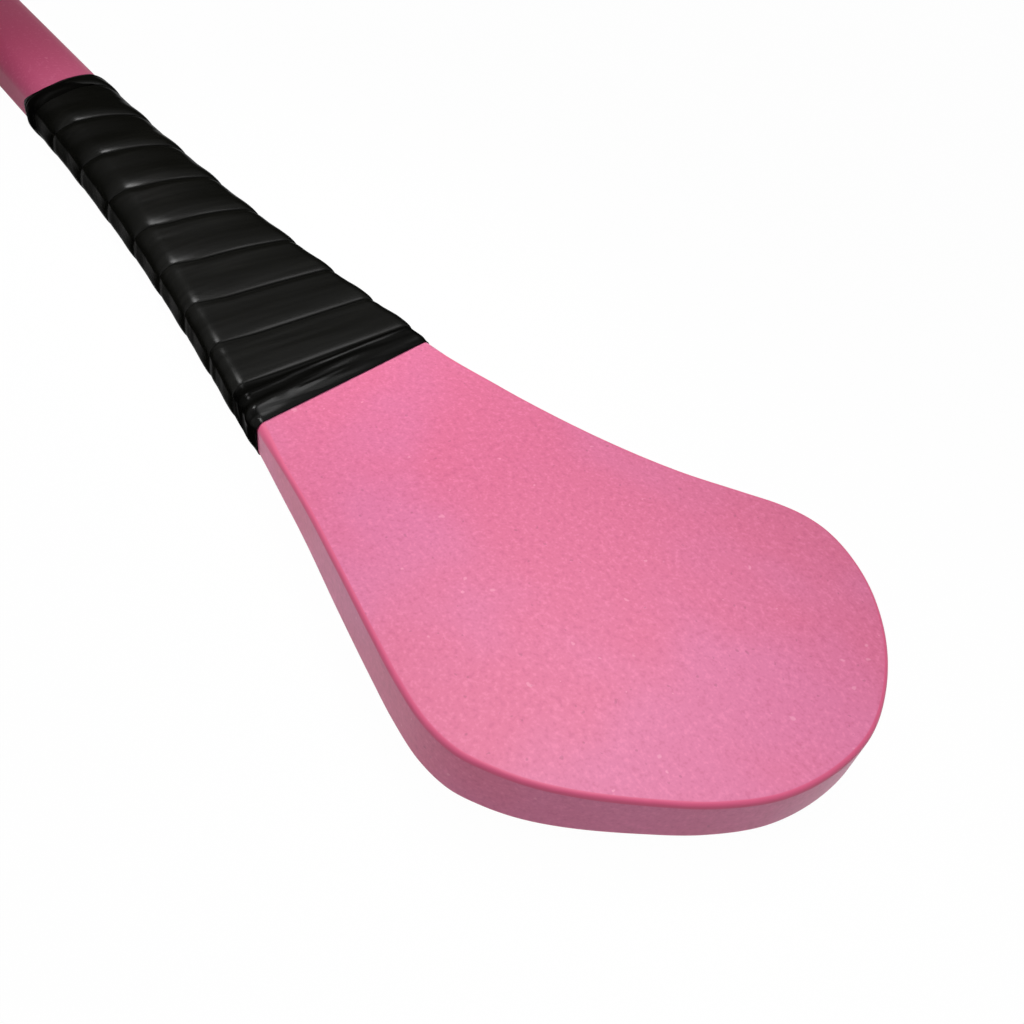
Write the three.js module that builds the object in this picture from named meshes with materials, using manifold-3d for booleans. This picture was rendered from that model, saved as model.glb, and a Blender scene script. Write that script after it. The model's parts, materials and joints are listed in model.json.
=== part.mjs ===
// A hurley: a moulded stick with a broad flat bas, a wound wrap at the neck and a wound grip at the butt.
// Lengths are in millimetres. While the pieces are made, x runs from the butt to the tip of the bas,
// y runs from the heel side to the toe side, and z is square to the faces, with 0 in the middle of the stick.
// At the end the stick is laid down on its two windings, as it lies on a floor, with +Z up.

import * as THREE from 'three';
import { mergeVertices } from 'three/addons/utils/BufferGeometryUtils.js';
import Module from 'manifold-3d';

// The whole stick and its bas
const stickLength = 813;
const basLength = 152.4;
const basWidth = 116;
const basThickness = 15.2;
const tipThickness = 12.8;
const basCorner = 1.2;

// The handle, and the neck where it runs into the bas
const handleWidth = 27.6;
const handleThickness = 21;
const handleCorner = 8.6;
const neckWidth = 59.5;
const neckThickness = 11;
const neckCorner = 2.4;
const neckSpread = 2;
const neckOffset = 1.5;
const thinningStartShare = 0.3;

// The grip end of the handle, with a small flare at the butt
const gripWidth = 29;
const gripThickness = 23;
const buttFlare = 1.6;
const buttFlareLength = 30;

// The lower wrap, between the bare handle and the bas
const lowerWrapLength = 193.5;
const lowerWrapTurns = 8;
const lowerWrapLastPitchShare = 0.59;
const lowerWrapLean = 0.155;
const handleBandWidth = 2.5;
const basBandWidth = 4.5;
const basBandLean = 0.135;

// The upper grip, from the butt to the bare handle
const upperGripLength = 218;
const upperGripTurns = 9;
const upperGripBandWidth = 5;
const gripFadeLength = 60;

// The tape: how thick it is flat on the stick and where it laps the next turn, and the thin finishing bands.
// The upper grip's tape starts at the butt as a narrow taper, gripTaperShare of the way into its first turn.
const tapeThickness = 1.1;
const lapThickness = 1.8;
const lapWidth = 5;
const lapRounding = 0.7;
const bandThickness = 1;
const bandEdgeThickness = 0.5;
const bandBevelShare = 0.17;
const gripTaperShare = 0.3;
const turnGap = 0.5;
const seatGap = 0.3;

// The stiffening rod, its bore and the plug that closes the bore
const rodDiameter = 10;
const rodLength = 410;
const plugFlangeThickness = 3;
const plugFlangeRounding = 1;
const plugSpigotLength = 14;
const cutOverrun = 1;

// How finely round shapes are divided
const cornerSteps = 4;
const faceColumns = 3;
const wrapStations = 16;
const handleStations = 6;
const stepsPerBasRung = 4;
const roundSides = 24;
const weldDistance = 0.0003;

// The bas is thickest between these two shares of its length back from the tip, and flat on both faces there
const thickestStartShare = 0.6;
const thickestEndShare = 0.3;

// The outline of the bas. Each row is one rung across it. Its heel end and its toe end are given by how far
// they lie back from the tip, as a share of basLength, and out from the line of the shaft, as a share of basWidth.
const basRungShares = [
  { heel: [0.79, -0.284], toe: [0.803, 0.325] },
  { heel: [0.638, -0.322], toe: [0.656, 0.386] },
  { heel: [0.517, -0.352], toe: [0.531, 0.464] },
  { heel: [0.431, -0.371], toe: [0.435, 0.545] },
  { heel: [0.362, -0.378], toe: [0.382, 0.59] },
  { heel: [0.306, -0.367], toe: [0.338, 0.615] },
  { heel: [0.263, -0.34], toe: [0.293, 0.623] },
  { heel: [0.218, -0.3], toe: [0.235, 0.61] },
  { heel: [0.171, -0.243], toe: [0.17, 0.572] },
  { heel: [0.11, -0.15], toe: [0.099, 0.497] },
  { heel: [0.055, -0.051], toe: [0.043, 0.399] },
  { heel: [0.015, 0.058], toe: [0.008, 0.292] },
];
const tipAcrossShare = 0.177;

// Places along the stick that follow from the sizes
const bodyStart = plugFlangeThickness + seatGap;
const neckPlace = stickLength - basLength;
const lowerWrapStart = neckPlace - lowerWrapLength;
const gripEnd = bodyStart + upperGripLength;

// Shape of the shaft

/** A smooth step from 0 to 1 as value goes from start to end. */
function fade(value, start, end) {
  const share = THREE.MathUtils.clamp((value - start) / (end - start), 0, 1);
  return share * share * (3 - 2 * share);
}

/** The half width, half thickness and corner radius of the shaft at a place along it. */
function shaftSize(x) {
  const toHandle = fade(x, gripEnd, gripEnd + gripFadeLength);
  const flare = buttFlare * (1 - THREE.MathUtils.clamp((x - bodyStart) / buttFlareLength, 0, 1)) ** 2;
  const along = Math.max(0, (x - lowerWrapStart) / lowerWrapLength);
  const spread = along ** neckSpread;
  const toNeck = fade(along, thinningStartShare, 1);
  const width = THREE.MathUtils.lerp(gripWidth, handleWidth, toHandle) + (neckWidth - handleWidth) * spread;
  const thickness = THREE.MathUtils.lerp(gripThickness, handleThickness, toHandle);
  return {
    halfWidth: width / 2 + flare,
    offset: neckOffset * spread,
    halfThickness: THREE.MathUtils.lerp(thickness, neckThickness, toNeck) / 2 + flare,
    corner: THREE.MathUtils.lerp(handleCorner, neckCorner, toNeck),
  };
}

/** The edge of the shaft at x, on its heel side, -1, or its toe side, 1. */
function shaftEdge(x, side) {
  const size = shaftSize(x);
  return new THREE.Vector2(x, size.offset + side * size.halfWidth);
}

/** One rung across the shaft at x: its two ends, the directions inwards from them, and its section sizes. */
function shaftRung(x) {
  const size = shaftSize(x);
  const rung = { half: size.halfThickness, corner: size.corner };
  for (const [name, side] of [['heel', -1], ['toe', 1]]) {
    rung[name] = shaftEdge(x, side);
    rung[`${name}In`] = new THREE.Vector2(0, -side);
  }
  return rung;
}

/** The half thickness and corner radius of the bas at a share of its length back from the tip. */
function basSize(back) {
  const fromNeck = fade(back, 1, thickestStartShare);
  const toTip = fade(back, thickestEndShare, 0);
  const thickness = THREE.MathUtils.lerp(neckThickness, basThickness, fromNeck);
  return {
    half: THREE.MathUtils.lerp(thickness, tipThickness, toTip) / 2,
    corner: THREE.MathUtils.lerp(neckCorner, basCorner, fromNeck),
  };
}

/** The outline of the bas: one smooth curve from the neck along the heel side, round the tip and back to the neck. */
function basOutline() {
  const lead = [neckPlace - basLength / basRungShares.length, neckPlace];
  const sidePoints = (name, side) => {
    const rows = basRungShares.map((row) => [stickLength - row[name][0] * basLength, row[name][1] * basWidth]);
    const edges = lead.map((x) => shaftEdge(x, side).toArray());
    return [...edges, ...rows].map(([x, y]) => new THREE.Vector3(x, y, 0));
  };
  const tip = new THREE.Vector3(stickLength, tipAcrossShare * basWidth, 0);
  const points = [...sidePoints('heel', -1), tip, ...sidePoints('toe', 1).reverse()];
  return new THREE.CatmullRomCurve3(points, false, 'centripetal');
}

/** All the rungs of the bas, from just past the neck to the tip. */
function basRungs() {
  const outline = basOutline();
  const steps = (basRungShares.length + 2) * stepsPerBasRung;
  const rungs = [];
  for (let step = stepsPerBasRung + 1; step <= steps; step += 1) {
    const place = step / (2 * steps);
    const rung = {};
    for (const [name, along] of [['heel', place], ['toe', 1 - place]]) {
      const point = outline.getPoint(along);
      const tangent = outline.getTangent(along);
      rung[name] = new THREE.Vector2(point.x, point.y);
      rung[`${name}In`] = new THREE.Vector2(-tangent.y, tangent.x);
    }
    const middle = (rung.heel.x + rung.toe.x) / 2;
    rungs.push({ ...rung, ...basSize((stickLength - middle) / basLength) });
  }
  return rungs;
}

/**
 * The closed ring of points round the stick at a rung, lying outside its surface by the length out.
 * It starts in the middle of the lower face and goes by the heel side, the upper face and the toe side.
 */
function ringPoints(rung, out, columns) {
  const cornerRing = (name, upper) => {
    const centre = rung[name].clone().addScaledVector(rung[`${name}In`], rung.corner);
    const points = [];
    for (let step = 0; step <= cornerSteps; step += 1) {
      const angle = (step / cornerSteps) * (Math.PI / 2);
      const flat = centre.clone().addScaledVector(rung[`${name}In`], -(rung.corner + out) * Math.cos(angle));
      const height = rung.half - rung.corner + (rung.corner + out) * Math.sin(angle);
      points.push(new THREE.Vector3(flat.x, flat.y, upper * height));
    }
    return points;
  };
  const between = (from, to) => Array.from(
    { length: columns },
    (_, index) => from.clone().lerp(to, (index + 1) / (columns + 1)),
  );
  const middle = (from, to) => from.clone().lerp(to, 1 / 2);
  const heelLow = cornerRing('heel', -1).reverse();
  const heelHigh = cornerRing('heel', 1);
  const toeHigh = cornerRing('toe', 1).reverse();
  const toeLow = cornerRing('toe', -1);
  const lower = between(toeLow[cornerSteps], heelLow[0]);
  const start = (columns - 1) / 2;
  return [
    ...lower.slice(start),
    ...heelLow, middle(heelLow[cornerSteps], heelHigh[0]), ...heelHigh,
    ...between(heelHigh[cornerSteps], toeHigh[0]),
    ...toeHigh, middle(toeHigh[cornerSteps], toeLow[0]), ...toeLow,
    ...lower.slice(0, start),
  ];
}

// Closed meshes

/** Joins equal corners and drops the triangles that have no area, so that a mesh is closed. */
function mergedGeometry(points, triangles) {
  const plain = new THREE.BufferGeometry();
  plain.setAttribute('position', new THREE.Float32BufferAttribute(points.flatMap((p) => [p.x, p.y, p.z]), 3));
  plain.setIndex(triangles.flat());
  const merged = mergeVertices(plain, weldDistance);
  const index = merged.index.array;
  const kept = [];
  for (let corner = 0; corner < index.length; corner += 3) {
    const [a, b, c] = [index[corner], index[corner + 1], index[corner + 2]];
    if (a !== b && b !== c && c !== a) kept.push(a, b, c);
  }
  merged.setIndex(kept);
  return merged;
}

/** The volume inside a closed mesh, negative where its faces point in. */
function signedVolume(geometry) {
  const position = geometry.attributes.position;
  const index = geometry.index.array;
  const corners = [new THREE.Vector3(), new THREE.Vector3(), new THREE.Vector3()];
  let volume = 0;
  for (let start = 0; start < index.length; start += 3) {
    corners.forEach((corner, offset) => corner.fromBufferAttribute(position, index[start + offset]));
    volume += corners[0].dot(corners[1].clone().cross(corners[2])) / 6;
  }
  return volume;
}

/** A closed skin through a row of rings that have equal numbers of points, with both ends closed. */
function closedLoft(rings) {
  const count = rings[0].length;
  const points = rings.flat();
  const triangles = [];
  for (let ring = 0; ring + 1 < rings.length; ring += 1) {
    for (let side = 0; side < count; side += 1) {
      const next = (side + 1) % count;
      const [a, b] = [ring * count + side, ring * count + next];
      triangles.push([a, b, b + count], [a, b + count, a + count]);
    }
  }
  for (const [ring, order] of [[0, -1], [rings.length - 1, 1]]) {
    const middle = rings[ring].reduce((sum, point) => sum.add(point), new THREE.Vector3());
    const centre = points.push(middle.divideScalar(count)) - 1;
    for (let side = 0; side < count; side += 1) {
      const edge = [ring * count + side, ring * count + ((side + 1) % count)];
      triangles.push(order > 0 ? [centre, edge[0], edge[1]] : [centre, edge[1], edge[0]]);
    }
  }
  const geometry = mergedGeometry(points, triangles);
  if (signedVolume(geometry) > 0) return geometry;
  const index = geometry.index.array;
  for (let start = 0; start < index.length; start += 3) {
    [index[start], index[start + 1]] = [index[start + 1], index[start]];
  }
  return geometry;
}

// Joins and cuts

const wasm = await Module();
wasm.setup();

/** A solid that can be joined and cut, from a closed geometry. */
function toSolid(geometry) {
  const plain = geometry.clone();
  plain.deleteAttribute('normal');
  plain.deleteAttribute('uv');
  const merged = mergeVertices(plain, weldDistance);
  return new wasm.Manifold(new wasm.Mesh({
    numProp: 3,
    vertProperties: new Float32Array(merged.attributes.position.array),
    triVerts: new Uint32Array(merged.index.array),
  }));
}

/** The geometry of a solid that has been joined or cut. */
function toGeometry(solid) {
  const mesh = solid.getMesh();
  const geometry = new THREE.BufferGeometry();
  geometry.setAttribute('position', new THREE.BufferAttribute(new Float32Array(mesh.vertProperties), 3));
  geometry.setIndex(new THREE.BufferAttribute(new Uint32Array(mesh.triVerts), 1));
  return geometry;
}

/** A round bar along x. */
function roundBar(radius, start, length) {
  const bar = new THREE.CylinderGeometry(radius, radius, length, roundSides);
  bar.rotateZ(-Math.PI / 2);
  bar.translate(start + length / 2, 0, 0);
  return bar;
}

// The body, its rod and its plug

const boreRadius = rodDiameter / 2 + seatGap;
const spigotStart = plugFlangeThickness;
const rodStart = spigotStart + plugSpigotLength + seatGap;
const boreEnd = rodStart + rodLength + seatGap;

/** Places along the shaft where the body has a ring of points, close together where its shape changes. */
function shaftStations() {
  const places = [];
  const run = (start, end, steps) => {
    for (let step = 0; step < steps; step += 1) places.push(start + ((end - start) * step) / steps);
  };
  run(bodyStart, bodyStart + buttFlareLength, handleStations);
  run(bodyStart + buttFlareLength, gripEnd, 1);
  run(gripEnd, gripEnd + gripFadeLength, handleStations);
  run(gripEnd + gripFadeLength, lowerWrapStart, 1);
  run(lowerWrapStart, neckPlace, wrapStations);
  places.push(neckPlace);
  return places;
}

/** The bas and handle in one moulding, with the rod's bore open at the butt. */
function bodyGeometry() {
  const rungs = [...shaftStations().map(shaftRung), ...basRungs()];
  const skin = closedLoft(rungs.map((rung) => ringPoints(rung, 0, faceColumns)));
  const bore = roundBar(boreRadius, bodyStart - cutOverrun, boreEnd - bodyStart + cutOverrun);
  return toGeometry(toSolid(skin).subtract(toSolid(bore)));
}

/** The plug: a flange over the butt with a rounded rim, and a spigot in the bore. */
function plugGeometry() {
  const rung = shaftRung(bodyStart);
  const places = [
    [0, -plugFlangeRounding],
    [plugFlangeRounding, 0],
    [plugFlangeThickness, 0],
  ];
  const flange = closedLoft(places.map(([x, out]) => {
    const ring = ringPoints(rung, out, 1);
    return ring.map((point) => new THREE.Vector3(x, point.y, point.z));
  }));
  const spigot = roundBar(rodDiameter / 2, spigotStart - cutOverrun, plugSpigotLength + cutOverrun);
  return toGeometry(toSolid(flange).add(toSolid(spigot)));
}

// Wound tapes

const ringCount = 4 * (cornerSteps + 1) + 4;

/** A point of the ring round the shaft at x, at a place between its numbered points. */
function pointOnRing(x, place, out) {
  const ring = ringPoints(shaftRung(x), out, 1);
  const whole = Math.floor(place);
  return ring[whole % ringCount].clone().lerp(ring[(whole + 1) % ringCount], place - whole);
}

/** How far round the shaft a ring place lies, as a share of the way round, from the middle of the lower face. */
function wayRound(x, place) {
  const ring = ringPoints(shaftRung(x), 0, 1);
  const lengths = ring.map((point, index) => point.distanceTo(ring[(index + 1) % ringCount]));
  const whole = Math.min(Math.floor(place), ringCount - 1);
  const before = lengths.slice(0, whole).reduce((sum, length) => sum + length, 0);
  return (before + lengths[whole] * (place - whole)) / lengths.reduce((sum, length) => sum + length, 0);
}

/**
 * A winding along the shaft. Its seam is a helix that starts at x = start and reaches x = end after all its
 * turns and one more, with a pitch that changes evenly. The seam leans by the slope lean across the faces.
 */
function winding({ start, end, turns, lastPitchShare, lean }) {
  const loops = turns + 1;
  const firstPitch = (end - start) / (loops * ((1 + lastPitchShare) / 2));
  const seamPlace = (along) => start + firstPitch * along * (1 - ((1 - lastPitchShare) * along) / (2 * loops));
  return (turn, place) => {
    const along = turn + wayRound(seamPlace(turn), place);
    const x = seamPlace(along);
    return x - lean * pointOnRing(x, place, 0).y;
  };
}

/** An end that is one plane across the shaft, leaning by the slope lean. */
function levelEdge(x, lean) {
  return (turn, place) => x - lean * pointOnRing(x, place, 0).y;
}

/** The section of a wound tape from its covered edge, flat on the stick, to its raised edge, which laps a turn. */
function tapeSection(covered, raised) {
  const way = Math.sign(raised - covered);
  const lap = Math.min(lapWidth, Math.abs(raised - covered) / 2);
  const rounding = Math.min(lapRounding, lap / 2);
  return [
    [covered, seatGap],
    [covered, seatGap + tapeThickness],
    [raised - way * lap, seatGap + tapeThickness],
    [raised - way * rounding, seatGap + lapThickness],
    [raised, seatGap + lapThickness - rounding],
    [raised, seatGap],
  ];
}

/** The section of a finishing band, thin at its bare edge and thicker where it covers the end of the tape. */
function bandSection(bare, covered) {
  const bevel = (covered - bare) * bandBevelShare;
  return [
    [bare, seatGap],
    [bare, seatGap + bandEdgeThickness],
    [bare + bevel, seatGap + bandThickness],
    [covered - bevel, seatGap + tapeThickness],
    [covered, seatGap + bandThickness],
    [covered, seatGap],
  ];
}

/** One unbroken strip wound from one place round the shaft to another, with the rings that it is made of. */
function woundStrip({ from, to, lowEdge, highEdge, section }) {
  const halfGap = (edge) => {
    const turn = Math.floor(edge);
    const step = pointOnRing(lowEdge(turn, 0), 0, 0).distanceTo(pointOnRing(lowEdge(turn, 0), 1, 0));
    return turnGap / 2 / step;
  };
  const first = from * ringCount;
  const last = to * ringCount;
  const places = [first + (Number.isInteger(from) ? halfGap(from) : 0)];
  for (let place = first + 1; place < last; place += 1) places.push(place);
  places.push(last - halfGap(to - 1));
  const rings = places.map((place) => {
    const turn = Math.min(Math.floor(place / ringCount), to - 1);
    const within = place - turn * ringCount;
    const edges = [lowEdge(turn, within), highEdge(turn, within)];
    return section(...edges).map(([x, out]) => pointOnRing(x, within, out));
  });
  return { rings, geometry: closedLoft(rings) };
}

/** The least distance between points of a strip that lie more than half a turn apart along it. */
function leastGap(rings) {
  let least = Infinity;
  const apart = ringCount / 2;
  const furthest = ringCount + apart;
  for (let a = 0; a < rings.length; a += 1) {
    for (let b = a + apart; b < Math.min(rings.length, a + furthest); b += 1) {
      for (const p of rings[a]) for (const q of rings[b]) least = Math.min(least, p.distanceTo(q));
    }
  }
  return least;
}

/** The lower wrap with its two finishing bands. */
function lowerWrapPieces() {
  const seam = winding({
    start: lowerWrapStart + handleBandWidth,
    end: neckPlace - basBandWidth,
    turns: lowerWrapTurns,
    lastPitchShare: lowerWrapLastPitchShare,
    lean: lowerWrapLean,
  });
  const beforeSeam = (turn, place) => seam(turn, place) - turnGap / 2;
  const afterSeam = (turn, place) => seam(turn, place) + turnGap / 2;
  return {
    lower_wrap: woundStrip({
      from: 0,
      to: lowerWrapTurns,
      lowEdge: afterSeam,
      highEdge: (turn, place) => beforeSeam(turn + 1, place),
      section: tapeSection,
    }),
    lower_wrap_handle_band: woundStrip({
      from: 0,
      to: 1,
      lowEdge: levelEdge(lowerWrapStart, 0),
      highEdge: beforeSeam,
      section: bandSection,
    }),
    lower_wrap_bas_band: woundStrip({
      from: lowerWrapTurns,
      to: lowerWrapTurns + 1,
      lowEdge: afterSeam,
      highEdge: levelEdge(neckPlace, basBandLean),
      section: (low, high) => bandSection(high, low),
    }),
  };
}

/**
 * The upper grip with the band at its lower end. It is wound down from the butt, so its raised edges face the
 * butt, and its tape starts narrow there, to lie square.
 */
function upperGripPieces() {
  const gripStart = bodyStart + seatGap;
  const seam = winding({
    start: gripStart,
    end: gripEnd - upperGripBandWidth,
    turns: upperGripTurns,
    lastPitchShare: 1,
    lean: 0,
  });
  const beforeSeam = (turn, place) => seam(turn, place) - turnGap / 2;
  const afterSeam = (turn, place) => seam(turn, place) + turnGap / 2;
  const butt = levelEdge(gripStart + turnGap / 2, 0);
  return {
    upper_grip: woundStrip({
      from: gripTaperShare - 1,
      to: upperGripTurns,
      lowEdge: (turn, place) => (turn < 0 ? butt(turn, place) : afterSeam(turn, place)),
      highEdge: (turn, place) => beforeSeam(turn + 1, place),
      section: (low, high) => tapeSection(high, low),
    }),
    upper_grip_band: woundStrip({
      from: upperGripTurns,
      to: upperGripTurns + 1,
      lowEdge: afterSeam,
      highEdge: levelEdge(gripEnd, 0),
      section: (low, high) => bandSection(high, low),
    }),
  };
}

// Materials

const mouldedPink = new THREE.MeshStandardMaterial({ color: 0xe27aa2, roughness: 0.5, metalness: 0 });
const gripBlack = new THREE.MeshStandardMaterial({ color: 0x1b1b19, roughness: 0.55, metalness: 0 });
const bandBlack = new THREE.MeshStandardMaterial({ color: 0x101010, roughness: 0.3, metalness: 0 });
const rodGrey = new THREE.MeshStandardMaterial({ color: 0xb9bcae, roughness: 0.45, metalness: 0 });
const plugBlack = new THREE.MeshStandardMaterial({ color: 0x161616, roughness: 0.6, metalness: 0 });

// The pieces

const strips = { ...lowerWrapPieces(), ...upperGripPieces() };
const pieces = [
  ['body', bodyGeometry(), mouldedPink],
  ['core_rod', roundBar(rodDiameter / 2, rodStart, rodLength), rodGrey],
  ['butt_plug', plugGeometry(), plugBlack],
  ...Object.entries(strips).map(([name, strip]) => [
    name, strip.geometry, name.endsWith('band') ? bandBlack : gripBlack,
  ]),
];
for (const name of ['lower_wrap', 'upper_grip']) {
  console.log(`${name}: least gap between its turns ${leastGap(strips[name].rings).toFixed(2)} mm`);
}

const stick = new THREE.Group();
for (const [name, geometry, material] of pieces) {
  geometry.computeVertexNormals();
  const mesh = new THREE.Mesh(geometry, material);
  mesh.name = name;
  stick.add(mesh);
}

// At rest

/** The lowest chain of points, seen from the side, as a string pulled tight under them would touch them. */
function lowerChain(points) {
  const chain = [];
  const turnOf = (a, b, c) => (b.x - a.x) * (c.y - a.y) - (b.y - a.y) * (c.x - a.x);
  for (const point of points.sort((a, b) => a.x - b.x || a.y - b.y)) {
    while (chain.length > 1 && turnOf(chain[chain.length - 2], chain[chain.length - 1], point) <= 0) chain.pop();
    chain.push(point);
  }
  return chain;
}

/** The slope of the line from the upper grip to the lower wrap that the stick rests on when it lies down. */
function restSlope() {
  const points = pieces.flatMap(([, geometry]) => {
    const { array } = geometry.attributes.position;
    return Array.from({ length: array.length / 3 }, (_, at) => new THREE.Vector2(array[3 * at], array[3 * at + 2]));
  });
  const chain = lowerChain(points);
  const after = chain.findIndex((point) => point.x > stickLength / 2);
  return (chain[after].y - chain[after - 1].y) / (chain[after].x - chain[after - 1].x);
}

stick.rotation.y = Math.atan(restSlope());
const hurley = new THREE.Group();
hurley.add(stick);
hurley.updateMatrixWorld(true);
const box = new THREE.Box3().setFromObject(hurley, true);
const centre = box.getCenter(new THREE.Vector3());
hurley.position.set(-centre.x, -centre.y, -box.min.z);
hurley.updateMatrixWorld(true);

export default hurley;
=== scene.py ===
"""Dresses a moulded hurley: a pink stick with a broad flat bas, a wound wrap at the neck and a wound grip.

Lengths are in metres. The pieces are shaped in the stick's own axes. There x runs from the butt to the tip
of the bas, y from the heel side to the toe side, and z is square to the faces with 0 in the middle. They
are then laid down as the stick lies in the frame. A way is a place round the stick as a share of one round,
counted from the middle of the lower face by the heel side, the upper face and the toe side.
"""

import json
import logging
import math
from collections.abc import Sequence
from dataclasses import dataclass, field
from enum import Enum
from functools import cached_property

import bmesh
import bpy
import numpy as np
from mathutils import Color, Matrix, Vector

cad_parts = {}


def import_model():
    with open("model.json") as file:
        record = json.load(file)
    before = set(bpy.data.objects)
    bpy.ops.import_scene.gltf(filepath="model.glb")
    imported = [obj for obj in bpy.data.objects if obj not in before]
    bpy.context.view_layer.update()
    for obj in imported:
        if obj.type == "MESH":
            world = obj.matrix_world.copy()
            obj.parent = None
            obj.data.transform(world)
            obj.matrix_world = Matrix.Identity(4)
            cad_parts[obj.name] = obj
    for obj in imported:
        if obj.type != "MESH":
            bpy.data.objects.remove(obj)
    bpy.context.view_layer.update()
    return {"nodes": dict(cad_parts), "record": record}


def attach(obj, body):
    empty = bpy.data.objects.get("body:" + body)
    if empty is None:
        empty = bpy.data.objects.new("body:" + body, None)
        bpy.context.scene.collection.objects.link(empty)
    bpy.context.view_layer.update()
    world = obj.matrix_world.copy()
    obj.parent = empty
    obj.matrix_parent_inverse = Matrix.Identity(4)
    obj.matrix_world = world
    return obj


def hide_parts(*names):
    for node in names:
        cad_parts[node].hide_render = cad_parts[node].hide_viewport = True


LOG = logging.getLogger("hurley")
MM = 0.001
BODY = "root"
# The mesh attribute that places the painted crease shade along the bas's rounded corners.
CORNER_SHADE_MARK = "corner"
WELD_DISTANCE = 0.002 * MM
WHITE = (1.0, 1.0, 1.0, 1.0)

Array = np.ndarray
Span = tuple[float, float]
Shade = tuple[int, int, int]
Thing = bpy.types.Object
Material = bpy.types.Material
Socket = bpy.types.NodeSocket


# The way the stick lies


@dataclass(frozen=True)
class StickPose:
    """The turn about y, in radians, and the shift that take the stick's own axes to the frame's axes."""

    tilt: float
    shift: tuple[float, float, float]

    @classmethod
    def from_record(cls, record: dict, marked_place: Sequence[float]) -> "StickPose":
        """Works the pose out from the two faces of the bas that the record marks.

        Args:
            record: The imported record.
            marked_place: The place between the two marks, in the stick's own axes.

        Returns:
            The pose.
        """
        mounts = {mount["name"]: mount for mount in record["mounts"]}
        upper, lower = mounts["bas_upper_face"], mounts["bas_lower_face"]
        middle = (np.array(upper["pos_m"]) + np.array(lower["pos_m"])) / 2
        tilt = math.atan2(upper["axis"][0], upper["axis"][2])
        turned = cls(tilt, (0, 0, 0)).place(np.array(marked_place))
        return cls(tilt, tuple(middle - turned))

    def place(self, points: Array) -> Array:
        """Takes points from the stick's own axes to the frame's.

        Args:
            points: Points, with their coordinates in the last axis.

        Returns:
            The same points in the frame's axes.
        """
        cosine, sine = math.cos(self.tilt), math.sin(self.tilt)
        turn = np.array([[cosine, 0, sine], [0, 1, 0], [-sine, 0, cosine]])
        return points @ turn.T + np.array(self.shift)


# Shape of the stick


def fade(value: Array, start: float, end: float) -> Array:
    """A smooth step from 0 to 1 as value goes from start to end, which may be below the start."""
    share = np.clip((value - start) / (end - start), 0, 1)
    return share * share * (3 - 2 * share)


def blend(start: float, end: float, share: Array) -> Array:
    """Goes from start to end by a share."""
    return start + (end - start) * share


def round_ring(turns: Array, x: float, radius: float) -> Array:
    """A round ring of points at x, with one point for each of the turns about the stick's line."""
    return np.column_stack([np.full_like(turns, x), radius * np.cos(turns), radius * np.sin(turns)])


def smooth_line(points: Array, shares: Array) -> tuple[Array, Array]:
    """Goes along a smooth line through points, which turns least where the points lie close together.

    Args:
        points: The points, one to a row.
        shares: How far along the line, from 0 to 1, with an equal share between each two points.

    Returns:
        The places there and the unit directions.
    """
    padded = np.vstack([2 * points[0] - points[1], points, 2 * points[-1] - points[-2]])
    spans = len(points) - 1
    place = np.clip(shares, 0, 1) * spans
    span = np.minimum(place.astype(int), spans - 1)
    within = (place - span)[:, None]
    p0, p1, p2, p3 = (padded[span + step] for step in range(4))
    d01, d12, d23 = (
        np.sqrt(np.linalg.norm(after - before, axis=1))[:, None]
        for before, after in ((p0, p1), (p1, p2), (p2, p3))
    )
    slope1 = ((p1 - p0) / d01 - (p2 - p0) / (d01 + d12) + (p2 - p1) / d12) * d12
    slope2 = ((p2 - p1) / d12 - (p3 - p1) / (d12 + d23) + (p3 - p2) / d23) * d12
    square = 3 * (p2 - p1) - 2 * slope1 - slope2
    cube = 2 * (p1 - p2) + slope1 + slope2
    directions = slope1 + within * (2 * square + within * 3 * cube)
    places = p1 + within * (slope1 + within * (square + within * cube))
    return places, directions / np.linalg.norm(directions, axis=1)[:, None]


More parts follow.
